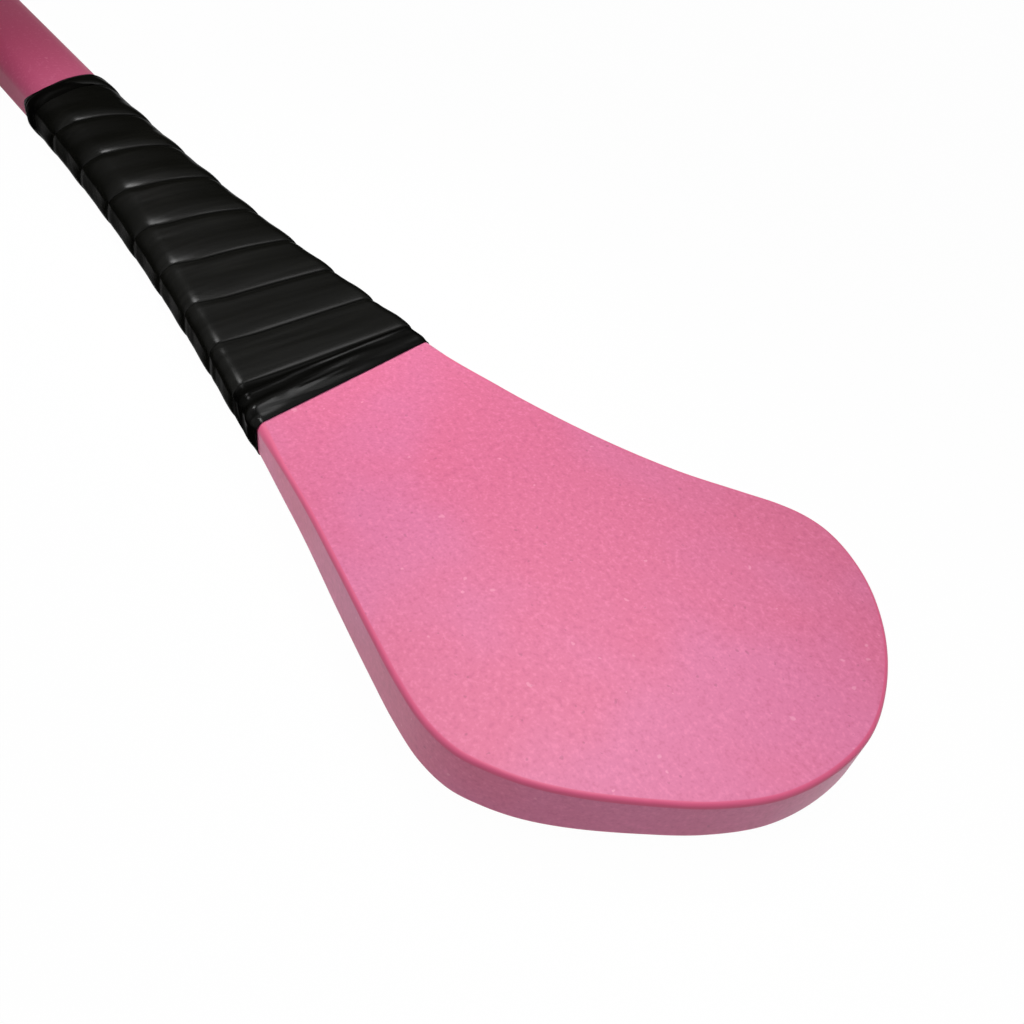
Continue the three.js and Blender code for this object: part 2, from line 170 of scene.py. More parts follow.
@dataclass(frozen=True)
class StickShape:
    """The sizes of the stick and its shape at any place.

    The sizes are those of the solids. The outline of the bas has one row for each rung across it, with the
    rung's heel end and toe end. Each end is given by how far it lies back from the tip, as a share of the
    bas's length, and out from the line of the shaft, as a share of its width.
    """

    length: float = 813 * MM
    bas_length: float = 152.4 * MM
    bas_width: float = 116 * MM
    bas_thickness: float = 15.2 * MM
    tip_thickness: float = 12.8 * MM
    bas_corner: float = 1.2 * MM
    bas_corner_start_share: float = 0.86
    marked_place: tuple[float, float, float] = (744 * MM, 15 * MM, 0)
    handle_width: float = 27.6 * MM
    handle_thickness: float = 21 * MM
    handle_corner: float = 6 * MM
    crown: float = 0.22
    crown_end_shares: Span = (0.9, 0.5)
    neck_width: float = 59.5 * MM
    neck_thickness: float = 11 * MM
    neck_corner: float = 2.4 * MM
    neck_spread: float = 2
    neck_offset: float = 1.5 * MM
    skin_inset: float = 0.02 * MM
    thinning_start_share: float = 0.3
    grip_width: float = 29 * MM
    grip_thickness: float = 23 * MM
    butt_flare: float = 1.6 * MM
    butt_flare_length: float = 30 * MM
    wrap_length: float = 193.5 * MM
    grip_length: float = 218 * MM
    grip_fade_length: float = 60 * MM
    body_start: float = 3.3 * MM
    thickest_shares: Span = (0.6, 0.3)
    tip_across_share: float = 0.177
    bas_rung_shares: tuple[tuple[float, float, float, float], ...] = (
        (0.79, -0.284, 0.803, 0.325),
        (0.638, -0.322, 0.656, 0.386),
        (0.517, -0.352, 0.531, 0.464),
        (0.431, -0.371, 0.435, 0.545),
        (0.362, -0.378, 0.382, 0.59),
        (0.306, -0.367, 0.338, 0.615),
        (0.263, -0.34, 0.293, 0.623),
        (0.218, -0.3, 0.235, 0.61),
        (0.171, -0.243, 0.17, 0.572),
        (0.11, -0.15, 0.099, 0.497),
        (0.055, -0.051, 0.043, 0.399),
        (0.015, 0.058, 0.008, 0.292),
    )

    @property
    def neck_place(self) -> float:
        """Where the shaft ends and the bas begins."""
        return self.length - self.bas_length

    @property
    def wrap_start(self) -> float:
        """Where the lower wrap begins, on its handle side."""
        return self.neck_place - self.wrap_length

    @property
    def grip_end(self) -> float:
        """Where the upper grip ends, on its bas side."""
        return self.body_start + self.grip_length

    def section(self, x: Array) -> dict[str, Array]:
        """The sizes of the shaft's rounded section.

        Args:
            x: Places along the shaft.

        Returns:
            The half width, half thickness, corner radius, crown and sideways offset at each place.
        """
        to_handle = fade(x, self.grip_end, self.grip_end + self.grip_fade_length)
        flare = self.butt_flare * (1 - np.clip((x - self.body_start) / self.butt_flare_length, 0, 1)) ** 2
        along = np.maximum(0, (x - self.wrap_start) / self.wrap_length)
        spread = along**self.neck_spread
        to_neck = fade(along, self.thinning_start_share, 1)
        width = blend(self.grip_width, self.handle_width, to_handle)
        width = width + (self.neck_width - self.handle_width) * spread
        thickness = blend(self.grip_thickness, self.handle_thickness, to_handle)
        return {
            "half_width": width / 2 + flare,
            "half_thickness": blend(thickness, self.neck_thickness, to_neck) / 2 + flare,
            "corner": blend(self.handle_corner, self.neck_corner, to_neck),
            "crown": self.crown * fade(along, *self.crown_end_shares),
            "offset": self.neck_offset * spread,
        }

    def surface(self, x: Array, way: Array, out: Array) -> Array:
        """Points round the shaft, at its surface or outside it.

        Args:
            x: Places along the shaft.
            way: Their ways.
            out: How far outside the surface.

        Returns:
            The points, with their coordinates in the last axis.
        """
        x, way, out = np.broadcast_arrays(np.asarray(x, float), way, out)
        size = self.section(x)
        corner = size["corner"]
        flat_y, flat_z = size["half_width"] - corner, size["half_thickness"] - corner
        bend = corner * math.pi / 2
        runs = np.stack([flat_y, bend, 2 * flat_z, bend, 2 * flat_y, bend, 2 * flat_z, bend, flat_y])
        ends = np.cumsum(runs, axis=0)
        travelled = (way % 1.0) * ends[-1]
        part = np.minimum((travelled >= ends).sum(axis=0), len(runs) - 1)
        starts = np.concatenate([np.zeros_like(ends[:1]), ends[:-1]])
        rest = travelled - np.take_along_axis(starts, part[None], axis=0)[0]
        sine, cosine = np.sin(rest / corner), np.cos(rest / corner)
        zero, one = np.zeros_like(x), np.ones_like(x)
        heel, toe, under, over = -flat_y, flat_y, -flat_z, flat_z
        normal_y = np.choose(part, [zero, -sine, -one, -cosine, zero, sine, one, cosine, zero])
        normal_z = np.choose(part, [-one, -cosine, zero, sine, one, cosine, zero, -sine, -one])
        core_y = np.choose(part, [-rest, heel, heel, heel, rest - flat_y, toe, toe, toe, flat_y - rest])
        core_z = np.choose(part, [under, under, rest - flat_z, over, over, over, flat_z - rest, under, under])
        across = core_y + (corner + out) * normal_y
        height = core_z + (corner + out) * normal_z
        height = height * (1 - size["crown"] * (across / (size["half_width"] + out)) ** 2)
        return np.stack([x, across + size["offset"], height], axis=-1)

    def level_edge(self, x: float, lean: float, way: Array) -> Array:
        """The places along the stick of an edge in one plane, which crosses its line at x with a lean."""
        return x - lean * self.surface(x, way, 0)[..., 1]

    def shaft_rungs(self, spacing: float) -> dict[str, Array]:
        """Rungs across the shaft, from the butt to the neck.

        Args:
            spacing: About how far apart they lie.

        Returns:
            The two ends of each rung, the directions inwards from them, and the sizes of the section there.
        """
        steps = round((self.neck_place - self.body_start) / spacing)
        x = np.linspace(self.body_start, self.neck_place, steps + 1)
        size = self.section(x)
        rungs = {"half": size["half_thickness"], "corner": size["corner"], "crown": size["crown"]}
        for name, side in (("heel", -1), ("toe", 1)):
            rungs[name] = np.column_stack([x, size["offset"] + side * size["half_width"]])
            rungs[f"{name}_in"] = np.column_stack([0 * x, 0 * x - side])
        return rungs

    def bas_rungs(self, steps_per_rung: int) -> dict[str, Array]:
        """Rungs across the bas, from just past the neck to the tip.

        Args:
            steps_per_rung: How many finer rungs lie between two rungs of the outline.

        Returns:
            The same values as for the rungs across the shaft.
        """
        rows = np.array(self.bas_rung_shares)
        lead = np.array([self.neck_place - self.bas_length / len(rows), self.neck_place])
        size = self.section(lead)
        heel, toe = (
            np.vstack([
                np.column_stack([lead, size["offset"] + side * size["half_width"]]),
                np.column_stack([self.length - back * self.bas_length, across * self.bas_width]),
            ])
            for side, back, across in ((-1, rows[:, 0], rows[:, 1]), (1, rows[:, 2], rows[:, 3]))
        )
        tip = np.array([[self.length, self.tip_across_share * self.bas_width]])
        outline = np.vstack([heel, tip, toe[::-1]])
        steps = len(heel) * steps_per_rung
        places = np.arange(steps_per_rung + 1, steps + 1) / (2 * steps)
        rungs: dict[str, Array] = {}
        for name, along in (("heel", places), ("toe", 1 - places)):
            points, directions = smooth_line(outline, along)
            inwards = np.column_stack([-directions[:, 1], directions[:, 0]])
            rungs[name] = points + self.skin_inset * inwards
            rungs[f"{name}_in"] = inwards
        back = (self.length - (rungs["heel"][:, 0] + rungs["toe"][:, 0]) / 2) / self.bas_length
        thickness = blend(self.neck_thickness, self.bas_thickness, fade(back, 1, self.thickest_shares[0]))
        rungs["half"] = blend(thickness, self.tip_thickness, fade(back, self.thickest_shares[1], 0)) / 2
        rungs["corner"] = blend(self.neck_corner, self.bas_corner, fade(back, 1, self.bas_corner_start_share))
        rungs["crown"] = 0 * back
        return rungs


@dataclass(frozen=True)
class Ripples:
    """A gentle unevenness that varies over two lengths, made of a few waves with seeded directions.

    Attributes:
        lengths: The shortest wave in each of the two directions.
        height: The largest height.
        waves: How many waves are added.
        seed: The seed of the waves' directions, starts and paces.
        least_pace: The slowest wave's pace, as a share of the quickest.
    """

    lengths: Span
    height: float
    waves: int = 9
    seed: int = 1
    least_pace: float = 0.35

    def at(self, first: Array, second: Array) -> Array:
        """The height at places given by their two lengths.

        Args:
            first: The first length of each place.
            second: The second length of each place.

        Returns:
            The heights, from minus to plus the largest height.
        """
        random = np.random.default_rng(self.seed)
        total = np.zeros(np.broadcast(first, second).shape)
        for _ in range(self.waves):
            turn, start = random.uniform(0, 2 * math.pi, 2)
            pace = random.uniform(self.least_pace, 1)
            rise = first / self.lengths[0] * math.cos(turn) + second / self.lengths[1] * math.sin(turn)
            total += np.sin(2 * math.pi * pace * rise + start)
        return self.height * total / self.waves


# Objects and shader nodes


def linked(name: str, data: bpy.types.ID) -> Thing:
    """Makes an object from its data and links it to the scene.

    Args:
        name: The object's name.
        data: Its mesh, lamp or camera.

    Returns:
        The new object.
    """
    made = bpy.data.objects.new(name, data)
    bpy.context.scene.collection.objects.link(made)
    return made


@dataclass
class Tree:
    """A node tree, to which nodes are added in short calls."""

    tree: bpy.types.NodeTree

    def node(self, kind: str, settings: dict | None = None, **inputs: object) -> bpy.types.Node:
        """Adds one shader node.

        Args:
            kind: The node's type name, without the ShaderNode that it starts with.
            settings: Properties of the node to set.
            **inputs: Input sockets to link or to set, named with underscores for spaces.

        Returns:
            The new node.
        """
        made = self.tree.nodes.new(f"ShaderNode{kind}")
        for name, value in (settings or {}).items():
            setattr(made, name, value)
        self.feed_all(made, inputs)
        return made

    def feed(self, socket: Socket, value: object) -> None:
        """Links a socket to an output, or sets its own value.

        Args:
            socket: The input socket.
            value: An output socket or a plain value.
        """
        if isinstance(value, Socket):
            self.tree.links.new(value, socket)
        else:
            socket.default_value = value

    def feed_all(self, node: bpy.types.Node, inputs: dict[str, object]) -> None:
        """Feeds sockets of a node by their names, with underscores for spaces."""
        for name, value in inputs.items():
            self.feed(node.inputs[name.replace("_", " ")], value)

    def math(self, operation: str, *values: object, kind: str = "Math") -> Socket:
        """Adds one sum.

        Args:
            operation: The sum's type name.
            *values: Numbers or output sockets.
            kind: The node's type name, which says whether it works on numbers or vectors.

        Returns:
            The result's socket.
        """
        made = self.node(kind, {"operation": operation})
        for socket, value in zip(made.inputs, values):
            self.feed(socket, value)
        return made.outputs[0]

    def scaled(self, value: Socket, factor: float, offset: object = 0.0) -> Socket:
        """A value times a factor, plus an offset."""
        return self.math("MULTIPLY_ADD", value, factor, offset)

    def mix(self, share: Socket, first: object, second: object) -> Socket:
        """Mixes two colours.

        Args:
            share: How much of the second colour there is.
            first: The first colour.
            second: The second colour.

        Returns:
            The mixed colour's socket.
        """
        made = self.node("Mix", {"data_type": "RGBA"})
        for index, value in ((0, share), (6, first), (7, second)):
            self.feed(made.inputs[index], value)
        return made.outputs[2]

    def ramp(self, value: Socket, low: float, high: float) -> Socket:
        """Stretches a value smoothly so that low becomes 0 and high, which may be below it, becomes 1."""
        smooth = {"interpolation_type": "SMOOTHSTEP"}
        return self.node("MapRange", smooth, Value=value, From_Min=low, From_Max=high).outputs["Result"]


class Effect(Tree):
    """A surface effect that several finishes share: a node group with a place and numbers as its inputs."""

    def __init__(self, name: str, inputs: dict[str, float], outputs: Sequence[str]) -> None:
        """Makes the empty group.

        Args:
            name: The group's name.
            inputs: The first value of each number input after the place.
            outputs: The names of its number outputs.
        """
        super().__init__(bpy.data.node_groups.new(name, "ShaderNodeTree"))
        interface = self.tree.interface
        interface.new_socket(name="Place", in_out="INPUT", socket_type="NodeSocketVector")
        for label, value in inputs.items():
            socket = interface.new_socket(name=label, in_out="INPUT", socket_type="NodeSocketFloat")
            socket.default_value = value
        for label in outputs:
            interface.new_socket(name=label, in_out="OUTPUT", socket_type="NodeSocketFloat")
        self.given = {socket.name: socket for socket in self.tree.nodes.new("NodeGroupInput").outputs}
        self.end = self.tree.nodes.new("NodeGroupOutput")


class FineGrain(Effect):
    """A fine grain in two sizes, with a slow unevenness beside it."""

    def __init__(self) -> None:
        """Builds the group."""
        values = {"Grain Scale": 1500.0, "Coarse Share": 0.5, "Slow Scale": 40.0}
        super().__init__("fine grain", values, ("Grain", "Coarse", "Slow"))
        fine, slow = self.given["Grain Scale"], self.given["Slow Scale"]
        coarse = self.math("MULTIPLY", fine, self.given["Coarse Share"])
        for name, scale, detail in (("Grain", fine, 2.0), ("Coarse", coarse, 1.0), ("Slow", slow, 2.0)):
            noise = self.node("TexNoise", Vector=self.given["Place"], Scale=scale, Detail=detail)
            self.feed(self.end.inputs[name], noise.outputs["Fac"])


class Flecks(Effect):
    """Small separate flecks of uneven outline, of which Share says how many of the places hold one."""

    bend: float = 0.9
    least_size: float = 0.3
    soft_edge: Span = (1.0, 0.5)

    def __init__(self) -> None:
        """Builds the group."""
        super().__init__("flecks", {"Scale": 700.0, "Share": 0.2, "Size": 0.3}, ("Mask",))
        place, scale = self.given["Place"], self.given["Scale"]
        noise = self.node("TexNoise", Vector=place, Scale=scale, Detail=2.0).outputs["Color"]
        nudge = self.math("DIVIDE", self.bend, scale)
        bent = self.math("MULTIPLY_ADD", noise, nudge, place, kind="VectorMath")
        cells = self.node("TexVoronoi", Vector=bent, Scale=scale).outputs
        chance = self.node("SeparateColor", Color=cells["Color"]).outputs
        chosen = self.math("LESS_THAN", chance[0], self.given["Share"])
        size = self.math("MULTIPLY", self.given["Size"], self.math("ADD", chance[1], self.least_size))
        spot = self.ramp(self.math("DIVIDE", cells["Distance"], size), *self.soft_edge)
        self.feed(self.end.inputs["Mask"], self.math("MULTIPLY", spot, chosen))


class DrawnLines(Effect):
    """Long faint lines, as in a tape that was pulled tight round the stick."""

    def __init__(self) -> None:
        """Builds the group."""
        super().__init__("drawn lines", {"Along Scale": 30.0, "Across Scale": 500.0}, ("Lines",))
        parts = self.node("SeparateXYZ", Vector=self.given["Place"]).outputs
        scales = {"X": "Across Scale", "Y": "Along Scale", "Z": "Along Scale"}
        stretched = {
            axis: self.math("MULTIPLY", parts[axis], self.given[name]) for axis, name in scales.items()
        }
        place = self.node("CombineXYZ", **stretched).outputs[0]
        lines = self.node("TexNoise", Vector=place, Scale=1.0, Detail=3.0)
        self.feed(self.end.inputs["Lines"], lines.outputs["Fac"])


@dataclass(frozen=True)
class Effects:
    """The shared effects, each built once."""

    grain: FineGrain = field(default_factory=FineGrain)
    flecks: Flecks = field(default_factory=Flecks)
    lines: DrawnLines = field(default_factory=DrawnLines)


# Finishes


def linear(shade: Shade) -> tuple[float, ...]:
    """Turns a colour as a screen shows it, from 0 to 255, into one with full cover that a shader takes."""
    return (*Color([value / 255 for value in shade]).from_srgb_to_scene_linear(), 1.0)


class Surface(Tree):
    """One new material with its shader."""

    def __init__(self, name: str) -> None:
        """Makes the material.

        Args:
            name: The material's name.
        """
        self.material = bpy.data.materials.new(name)
        self.material.use_nodes = True
        super().__init__(self.material.node_tree)

    @cached_property
    def place(self) -> Socket:
        """The place on the object."""
        return self.node("TexCoord").outputs["Object"]

    def effect(self, shared: Effect, values: Sequence[float]) -> dict[str, Socket]:
        """Places one shared effect in the material.

        Args:
            shared: The effect.
            values: Its numbers, in the order of its inputs.

        Returns:
            The sockets of its outputs by their names.
        """
        made = self.node("Group", {"node_tree": shared.tree}, Place=self.place)
        for socket, value in zip(made.inputs[1:], values):
            socket.default_value = value
        return {socket.name: socket for socket in made.outputs}

    def bump(self, height: Socket, strength: float, depth: float, **normal: Socket) -> Socket:
        """Adds a bump from a height, on top of a normal if one is given."""
        return self.node("Bump", Strength=strength, Distance=depth, Height=height, **normal).outputs["Normal"]

    def finish(self, **inputs: object) -> Material:
        """Feeds the shader by the names of its inputs, and gives the material."""
        self.feed_all(self.tree.nodes["Principled BSDF"], inputs)
        return self.material


@dataclass(frozen=True)
class Fleck:
    """One kind of fleck in the pink.

    Attributes:
        shade: Its colour.
        strength: How strongly the colour shows.
        scales: How close together the places for it lie, how many of them hold one, and its size.
        lift: 1 where it stands out, -1 where it is a pit and 0 where it lies flush.
        bump: The strength of its bump, and its depth in metres.
    """

    shade: Shade
    strength: float
    scales: tuple[float, float, float]
    lift: float = 0
    bump: Span = (0, 0)


@dataclass(frozen=True)
class MouldedPink:
    """The satin pink of the moulding, with a dense fine speckle under its skin, a painted shade along the
    bas's rounded corners and a handle painted darker as shade.
    """

    cooler: Shade = (218, 115, 157)
    redder: Shade = (219, 107, 145)
    # Painted shade: a darker, more saturated pink along the bas's rounded corners, where the face's light
    # turns into the rim's shade.
    corner: Shade = (222, 96, 136)
    # Painted shade: the handle is coloured darker and redder than the bas, standing in for the light that
    # falls off towards the butt.
    handle: Shade = (171, 60, 96)
    hue_range: Span = (0.36, 0.64)
    handle_places: Span = (0.2, 0.02)
    handle_calm: float = 0.7
    handle_gloss_share: float = 0.08
    grain_scales: tuple[float, float, float] = (1500.0, 0.45, 22.0)
    grain_shades: tuple[tuple[float, Shade], ...] = ((0.62, (186, 70, 112)), (1.38, (248, 146, 188)))
    grain_middle: float = 1.0
    grain_strength: float = 0.28
    grain_bump: Span = (0.2, 0.1 * MM)
    flecks: tuple[Fleck, ...] = (
        Fleck((150, 62, 94), 0.3, (560.0, 0.16, 0.22)),
        Fleck((250, 176, 204), 0.35, (330.0, 0.08, 0.2), 1, (0.5, 0.06 * MM)),
        Fleck((110, 40, 66), 0.85, (100.0, 0.02, 0.07), -1, (0.6, 0.2 * MM)),
    )
    roughness: float = 0.38
    rough_gain: float = 0.1
    gloss: float = 0.54
    gloss_roughness: float = 0.42
    own_gloss: float = 0.03

    def material(self, effects: Effects) -> Material:
        """Builds the material.

        Args:
            effects: The shared effects.

        Returns:
            The material.
        """
        surface = Surface("moulded pink")
        grain = surface.effect(effects.grain, self.grain_scales)
        hue = surface.ramp(grain["Slow"], *self.hue_range)
        base = surface.mix(hue, linear(self.redder), linear(self.cooler))
        along = surface.node("SeparateXYZ", Vector=surface.place).outputs["X"]
        on_handle = surface.ramp(along, *self.handle_places)
        # Painted shade: towards the butt the pink fades into the darker handle colour.
        base = surface.mix(on_handle, base, linear(self.handle))
        both = surface.math("ADD", grain["Grain"], grain["Coarse"])
        spots = [
            (surface.ramp(both, self.grain_middle, level), self.grain_strength, shade)
            for level, shade in self.grain_shades
        ]
        normal = surface.bump(grain["Coarse"], *self.grain_bump)
        for fleck in self.flecks:
            mask = surface.effect(effects.flecks, fleck.scales)["Mask"]
            spots.append((mask, fleck.strength, fleck.shade))
            if fleck.lift:
                normal = surface.bump(surface.scaled(mask, fleck.lift), *fleck.bump, Normal=normal)
        speckled = surface.scaled(on_handle, -self.handle_calm, 1.0)
        for mask, strength, shade in spots:
            share = surface.math("MULTIPLY", surface.scaled(mask, strength), speckled)
            base = surface.mix(share, base, linear(shade))
        # Painted shade along the bas's rounded corners, placed by the corner mark of the mesh.
        crease_shade = surface.node("Attribute", {"attribute_name": CORNER_SHADE_MARK}).outputs["Fac"]
        gloss_lost = self.gloss * (1 - self.handle_gloss_share)
        return surface.finish(
            Base_Color=surface.mix(crease_shade, base, linear(self.corner)),
            Roughness=surface.scaled(grain["Coarse"], self.rough_gain, self.roughness),
            Normal=normal,
            Coat_Weight=surface.scaled(on_handle, -gloss_lost, self.gloss),
            Coat_Roughness=self.gloss_roughness,
            Specular_IOR_Level=self.own_gloss,
        )


@dataclass(frozen=True)
class TapeGloss:
    """The gloss of a tape, which its lines break up.

    Attributes:
        strongest: The gloss of a surface that faces the viewer.
        slants: The slants at which it begins and is full, where 0 faces the viewer and 1 is edge on.
        edge: The gloss that comes back at the very edge.
        roughness: How rough the gloss is.
        line_range: The strengths of a line between which the gloss grows.
        line_gain: The share of the gloss that it grows by.
        least_share: The share of the gloss that there is without a line.
        edge_slants: The slants between which the gloss comes back.
    """

    strongest: float
    slants: Span
    edge: float
    roughness: float
    line_range: Span
    line_gain: float
    least_share: float
    edge_slants: Span = (0.74, 0.96)

    def weight(self, surface: Surface, lines: Socket) -> Socket:
        """How strong the gloss is at each place.

        Args:
            surface: The material that has it.
            lines: The strength of its lines.

        Returns:
            The weight's socket.
        """
        slant = surface.node("LayerWeight", Blend=0.5).outputs["Facing"]
        facing = surface.scaled(surface.ramp(slant, *self.slants), self.strongest)
        whole = surface.scaled(surface.ramp(slant, *self.edge_slants), self.edge, facing)
        broken = surface.scaled(surface.ramp(lines, *self.line_range), self.line_gain, self.least_share)
        return surface.math("MULTIPLY", whole, broken)


class Pattern(Enum):
    """The patterns that the shared effects put out."""

    GRAIN = "Grain"
    COARSE = "Coarse"
    SLOW = "Slow"
    LINES = "Lines"


@dataclass(frozen=True)
class TwoTone:
    """A finish of two colours, with patterns that mix them and make them rough and uneven.

    Attributes:
        name: The material's name.
        colour: Its main colour.
        other: Its other colour, of scuffs, wear, bloom or fibres.
        shows: The patterns whose product shows the other colour.
        other_share: How strongly the other colour shows.
        roughness: Its least roughness.
        rough_pattern: The pattern that makes it rougher.
        rough_gain: How much rougher that makes it at most.
        bumps: The pattern, the strength and the depth in metres of each bump.
        show_range: What of that product shows none and all of the other colour, where it is stretched.
        grain_scales: The numbers of its fine grain, if it has one.
        line_scales: The numbers of its drawn lines, if it has them.
        own_gloss: Its specular level.
        gloss: The gloss on top, if it has one.
    """

    name: str
    colour: Shade
    other: Shade
    shows: tuple[Pattern, ...]
    other_share: float
    roughness: float
    rough_pattern: Pattern
    rough_gain: float
    bumps: tuple[tuple[Pattern, float, float], ...]
    show_range: Span | None = None
    grain_scales: tuple[float, ...] = ()
    line_scales: tuple[float, ...] = ()
    own_gloss: float = 0.5
    gloss: TapeGloss | None = None

    def material(self, effects: Effects) -> Material:
        """Builds the material.

        Args:
            effects: The shared effects.

        Returns:
            The material.
        """
        surface = Surface(self.name)
        outputs: dict[str, Socket] = {}
        for shared, scales in ((effects.grain, self.grain_scales), (effects.lines, self.line_scales)):
            if scales:
                outputs |= surface.effect(shared, scales)
        shown, *others = (outputs[pattern.value] for pattern in self.shows)
        for pattern in others:
            shown = surface.math("MULTIPLY", shown, pattern)
        if self.show_range:
            shown = surface.ramp(shown, *self.show_range)
        inputs: dict[str, object] = {}
        for pattern, strength, depth in self.bumps:
            inputs["Normal"] = surface.bump(outputs[pattern.value], strength, depth, **inputs)
        if self.gloss:
            inputs["Coat_Weight"] = self.gloss.weight(surface, outputs[Pattern.LINES.value])
            inputs["Coat_Roughness"] = self.gloss.roughness
        share = surface.scaled(shown, self.other_share)
        return surface.finish(
            Base_Color=surface.mix(share, linear(self.colour), linear(self.other)),
            Roughness=surface.scaled(outputs[self.rough_pattern.value], self.rough_gain, self.roughness),
            Specular_IOR_Level=self.own_gloss,
            **inputs,
        )


# The soft black tape of the windings, with faint lines along its pull
GRIP_TAPE = TwoTone(
    name="grip tape",
    colour=(13, 13, 11),
    other=(22, 22, 19),
    shows=(Pattern.LINES, Pattern.SLOW),
    show_range=(0.22, 0.44),
    other_share=0.3,
    roughness=0.5,
    rough_pattern=Pattern.LINES,
    rough_gain=0.14,
    bumps=((Pattern.LINES, 0.07, 0.2 * MM), (Pattern.GRAIN, 0.12, 0.08 * MM)),
    grain_scales=(2300.0, 0.4, 70.0),
    line_scales=(38.0, 620.0),
    own_gloss=0.0,
    gloss=TapeGloss(0.17, (0.62, 0.26), 0.26, 0.27, (0.25, 0.75), 0.5, 0.75),
)

# The glossy black tape that holds the ends of the windings
FINISHING_TAPE = TwoTone(
    name="finishing tape",
    colour=(7, 7, 6),
    other=(15, 15, 13),
    shows=(Pattern.LINES,),
    show_range=(0.45, 0.75),
    other_share=0.5,
    roughness=0.4,
    rough_pattern=Pattern.SLOW,
    rough_gain=0.12,
    bumps=((Pattern.LINES, 0.3, 0.3 * MM), (Pattern.GRAIN, 0.05, 0.05 * MM)),
    grain_scales=(1700.0, 0.4, 90.0),
    line_scales=(26.0, 420.0),
    own_gloss=0.0,
    gloss=TapeGloss(0.13, (0.58, 0.2), 0.14, 0.22, (0.35, 0.6), 1.0, 0.35),
)

# The matt black rubber of the plug, with a faint grey bloom
MOULDED_RUBBER = TwoTone(
    name="moulded rubber",
    colour=(24, 24, 24),
    other=(44, 44, 45),
    shows=(Pattern.SLOW,),
    show_range=(0.42, 0.7),
    other_share=0.5,
    roughness=0.62,
    rough_pattern=Pattern.GRAIN,
    rough_gain=0.15,
    bumps=((Pattern.COARSE, 0.3, 0.12 * MM),),
    grain_scales=(1400.0, 0.5, 120.0),
    own_gloss=0.3,
)

# The pale grey glass fibre of the rod, with fibres along it
GLASS_FIBRE = TwoTone(
    name="glass fibre",
    colour=(186, 189, 176),
    other=(214, 215, 203),
    shows=(Pattern.LINES,),
    other_share=1.0,
    roughness=0.4,
    rough_pattern=Pattern.LINES,
    rough_gain=0.1,
    bumps=((Pattern.LINES, 0.2, 0.1 * MM),),
    line_scales=(1800.0, 20.0),
)


class Slot(Enum):
    """The record's material slots."""

    BODY = "moulded_body"
    GRIP = "grip_tape"
    FINISHING = "finishing_tape"
    PLUG = "plug"


class Finishes:
    """Every material of the hurley, built once."""

    def __init__(self) -> None:
        """Builds the materials from the shared effects."""
        effects = Effects()
        self.by_slot = {
            Slot.BODY: MouldedPink().material(effects),
            Slot.GRIP: GRIP_TAPE.material(effects),
            Slot.FINISHING: FINISHING_TAPE.material(effects),
            Slot.PLUG: MOULDED_RUBBER.material(effects),
        }
        self.rod = GLASS_FIBRE.material(effects)


# The pieces


@dataclass
class SubAssembly:
    """Pieces of the hurley that belong together.

    Attributes:
        shape: The stick's shape.
        pose: How the stick lies.
        finishes: The materials.
    """

    shape: StickShape
    pose: StickPose
    finishes: Finishes

    def add(
        self,
        name: str,
        node: str,
        slot: Slot,
        rings: Array,
        capped: bool = True,
        sharp_angle: float = 50,
        mark: Array | None = None,
    ) -> None:
        """Adds one piece: a smooth skin through closed rings of points, laid down and dressed.

        Args:
            name: The piece's name.
            node: The node that it stands for.
            slot: The record's slot, which says what finish it has.
            rings: The rings of points in the stick's own axes.
            capped: Whether a face closes each end.
            sharp_angle: Edges that bend more than this many degrees are shaded sharp.
            mark: How much each point belongs to a rounded corner, where the pink paints a darker crease
                shade.
        """
        count, around = rings.shape[:2]
        points = np.arange(count * around).reshape(count, around)
        beside = np.roll(points, -1, axis=1)
        faces = np.stack([points[:-1], beside[:-1], beside[1:], points[1:]], axis=-1).reshape(-1, 4).tolist()
        if capped:
            faces += [points[0, ::-1].tolist(), points[-1].tolist()]
        mesh = bpy.data.meshes.new(name)
        mesh.from_pydata(self.pose.place(rings.reshape(-1, 3)).tolist(), [], faces)
        if mark is not None:
            values = mark.reshape(-1).astype(np.float32)
            mesh.attributes.new(CORNER_SHADE_MARK, "FLOAT", "POINT").data.foreach_set("value", values)
        work = bmesh.new()
        work.from_mesh(mesh)
        bmesh.ops.remove_doubles(work, verts=work.verts, dist=WELD_DISTANCE)
        bmesh.ops.recalc_face_normals(work, faces=work.faces)
        work.to_mesh(mesh)
        work.free()
        mesh.polygons.foreach_set("use_smooth", [True] * len(mesh.polygons))
        mesh.set_sharp_from_angle(angle=math.radians(sharp_angle))
        mesh.materials.append(self.finishes.by_slot[slot])
        piece = linked(name, mesh)
        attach(piece, BODY)
        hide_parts(node)
        LOG.info("%s stands for %s, %d faces", name, node, len(mesh.polygons))


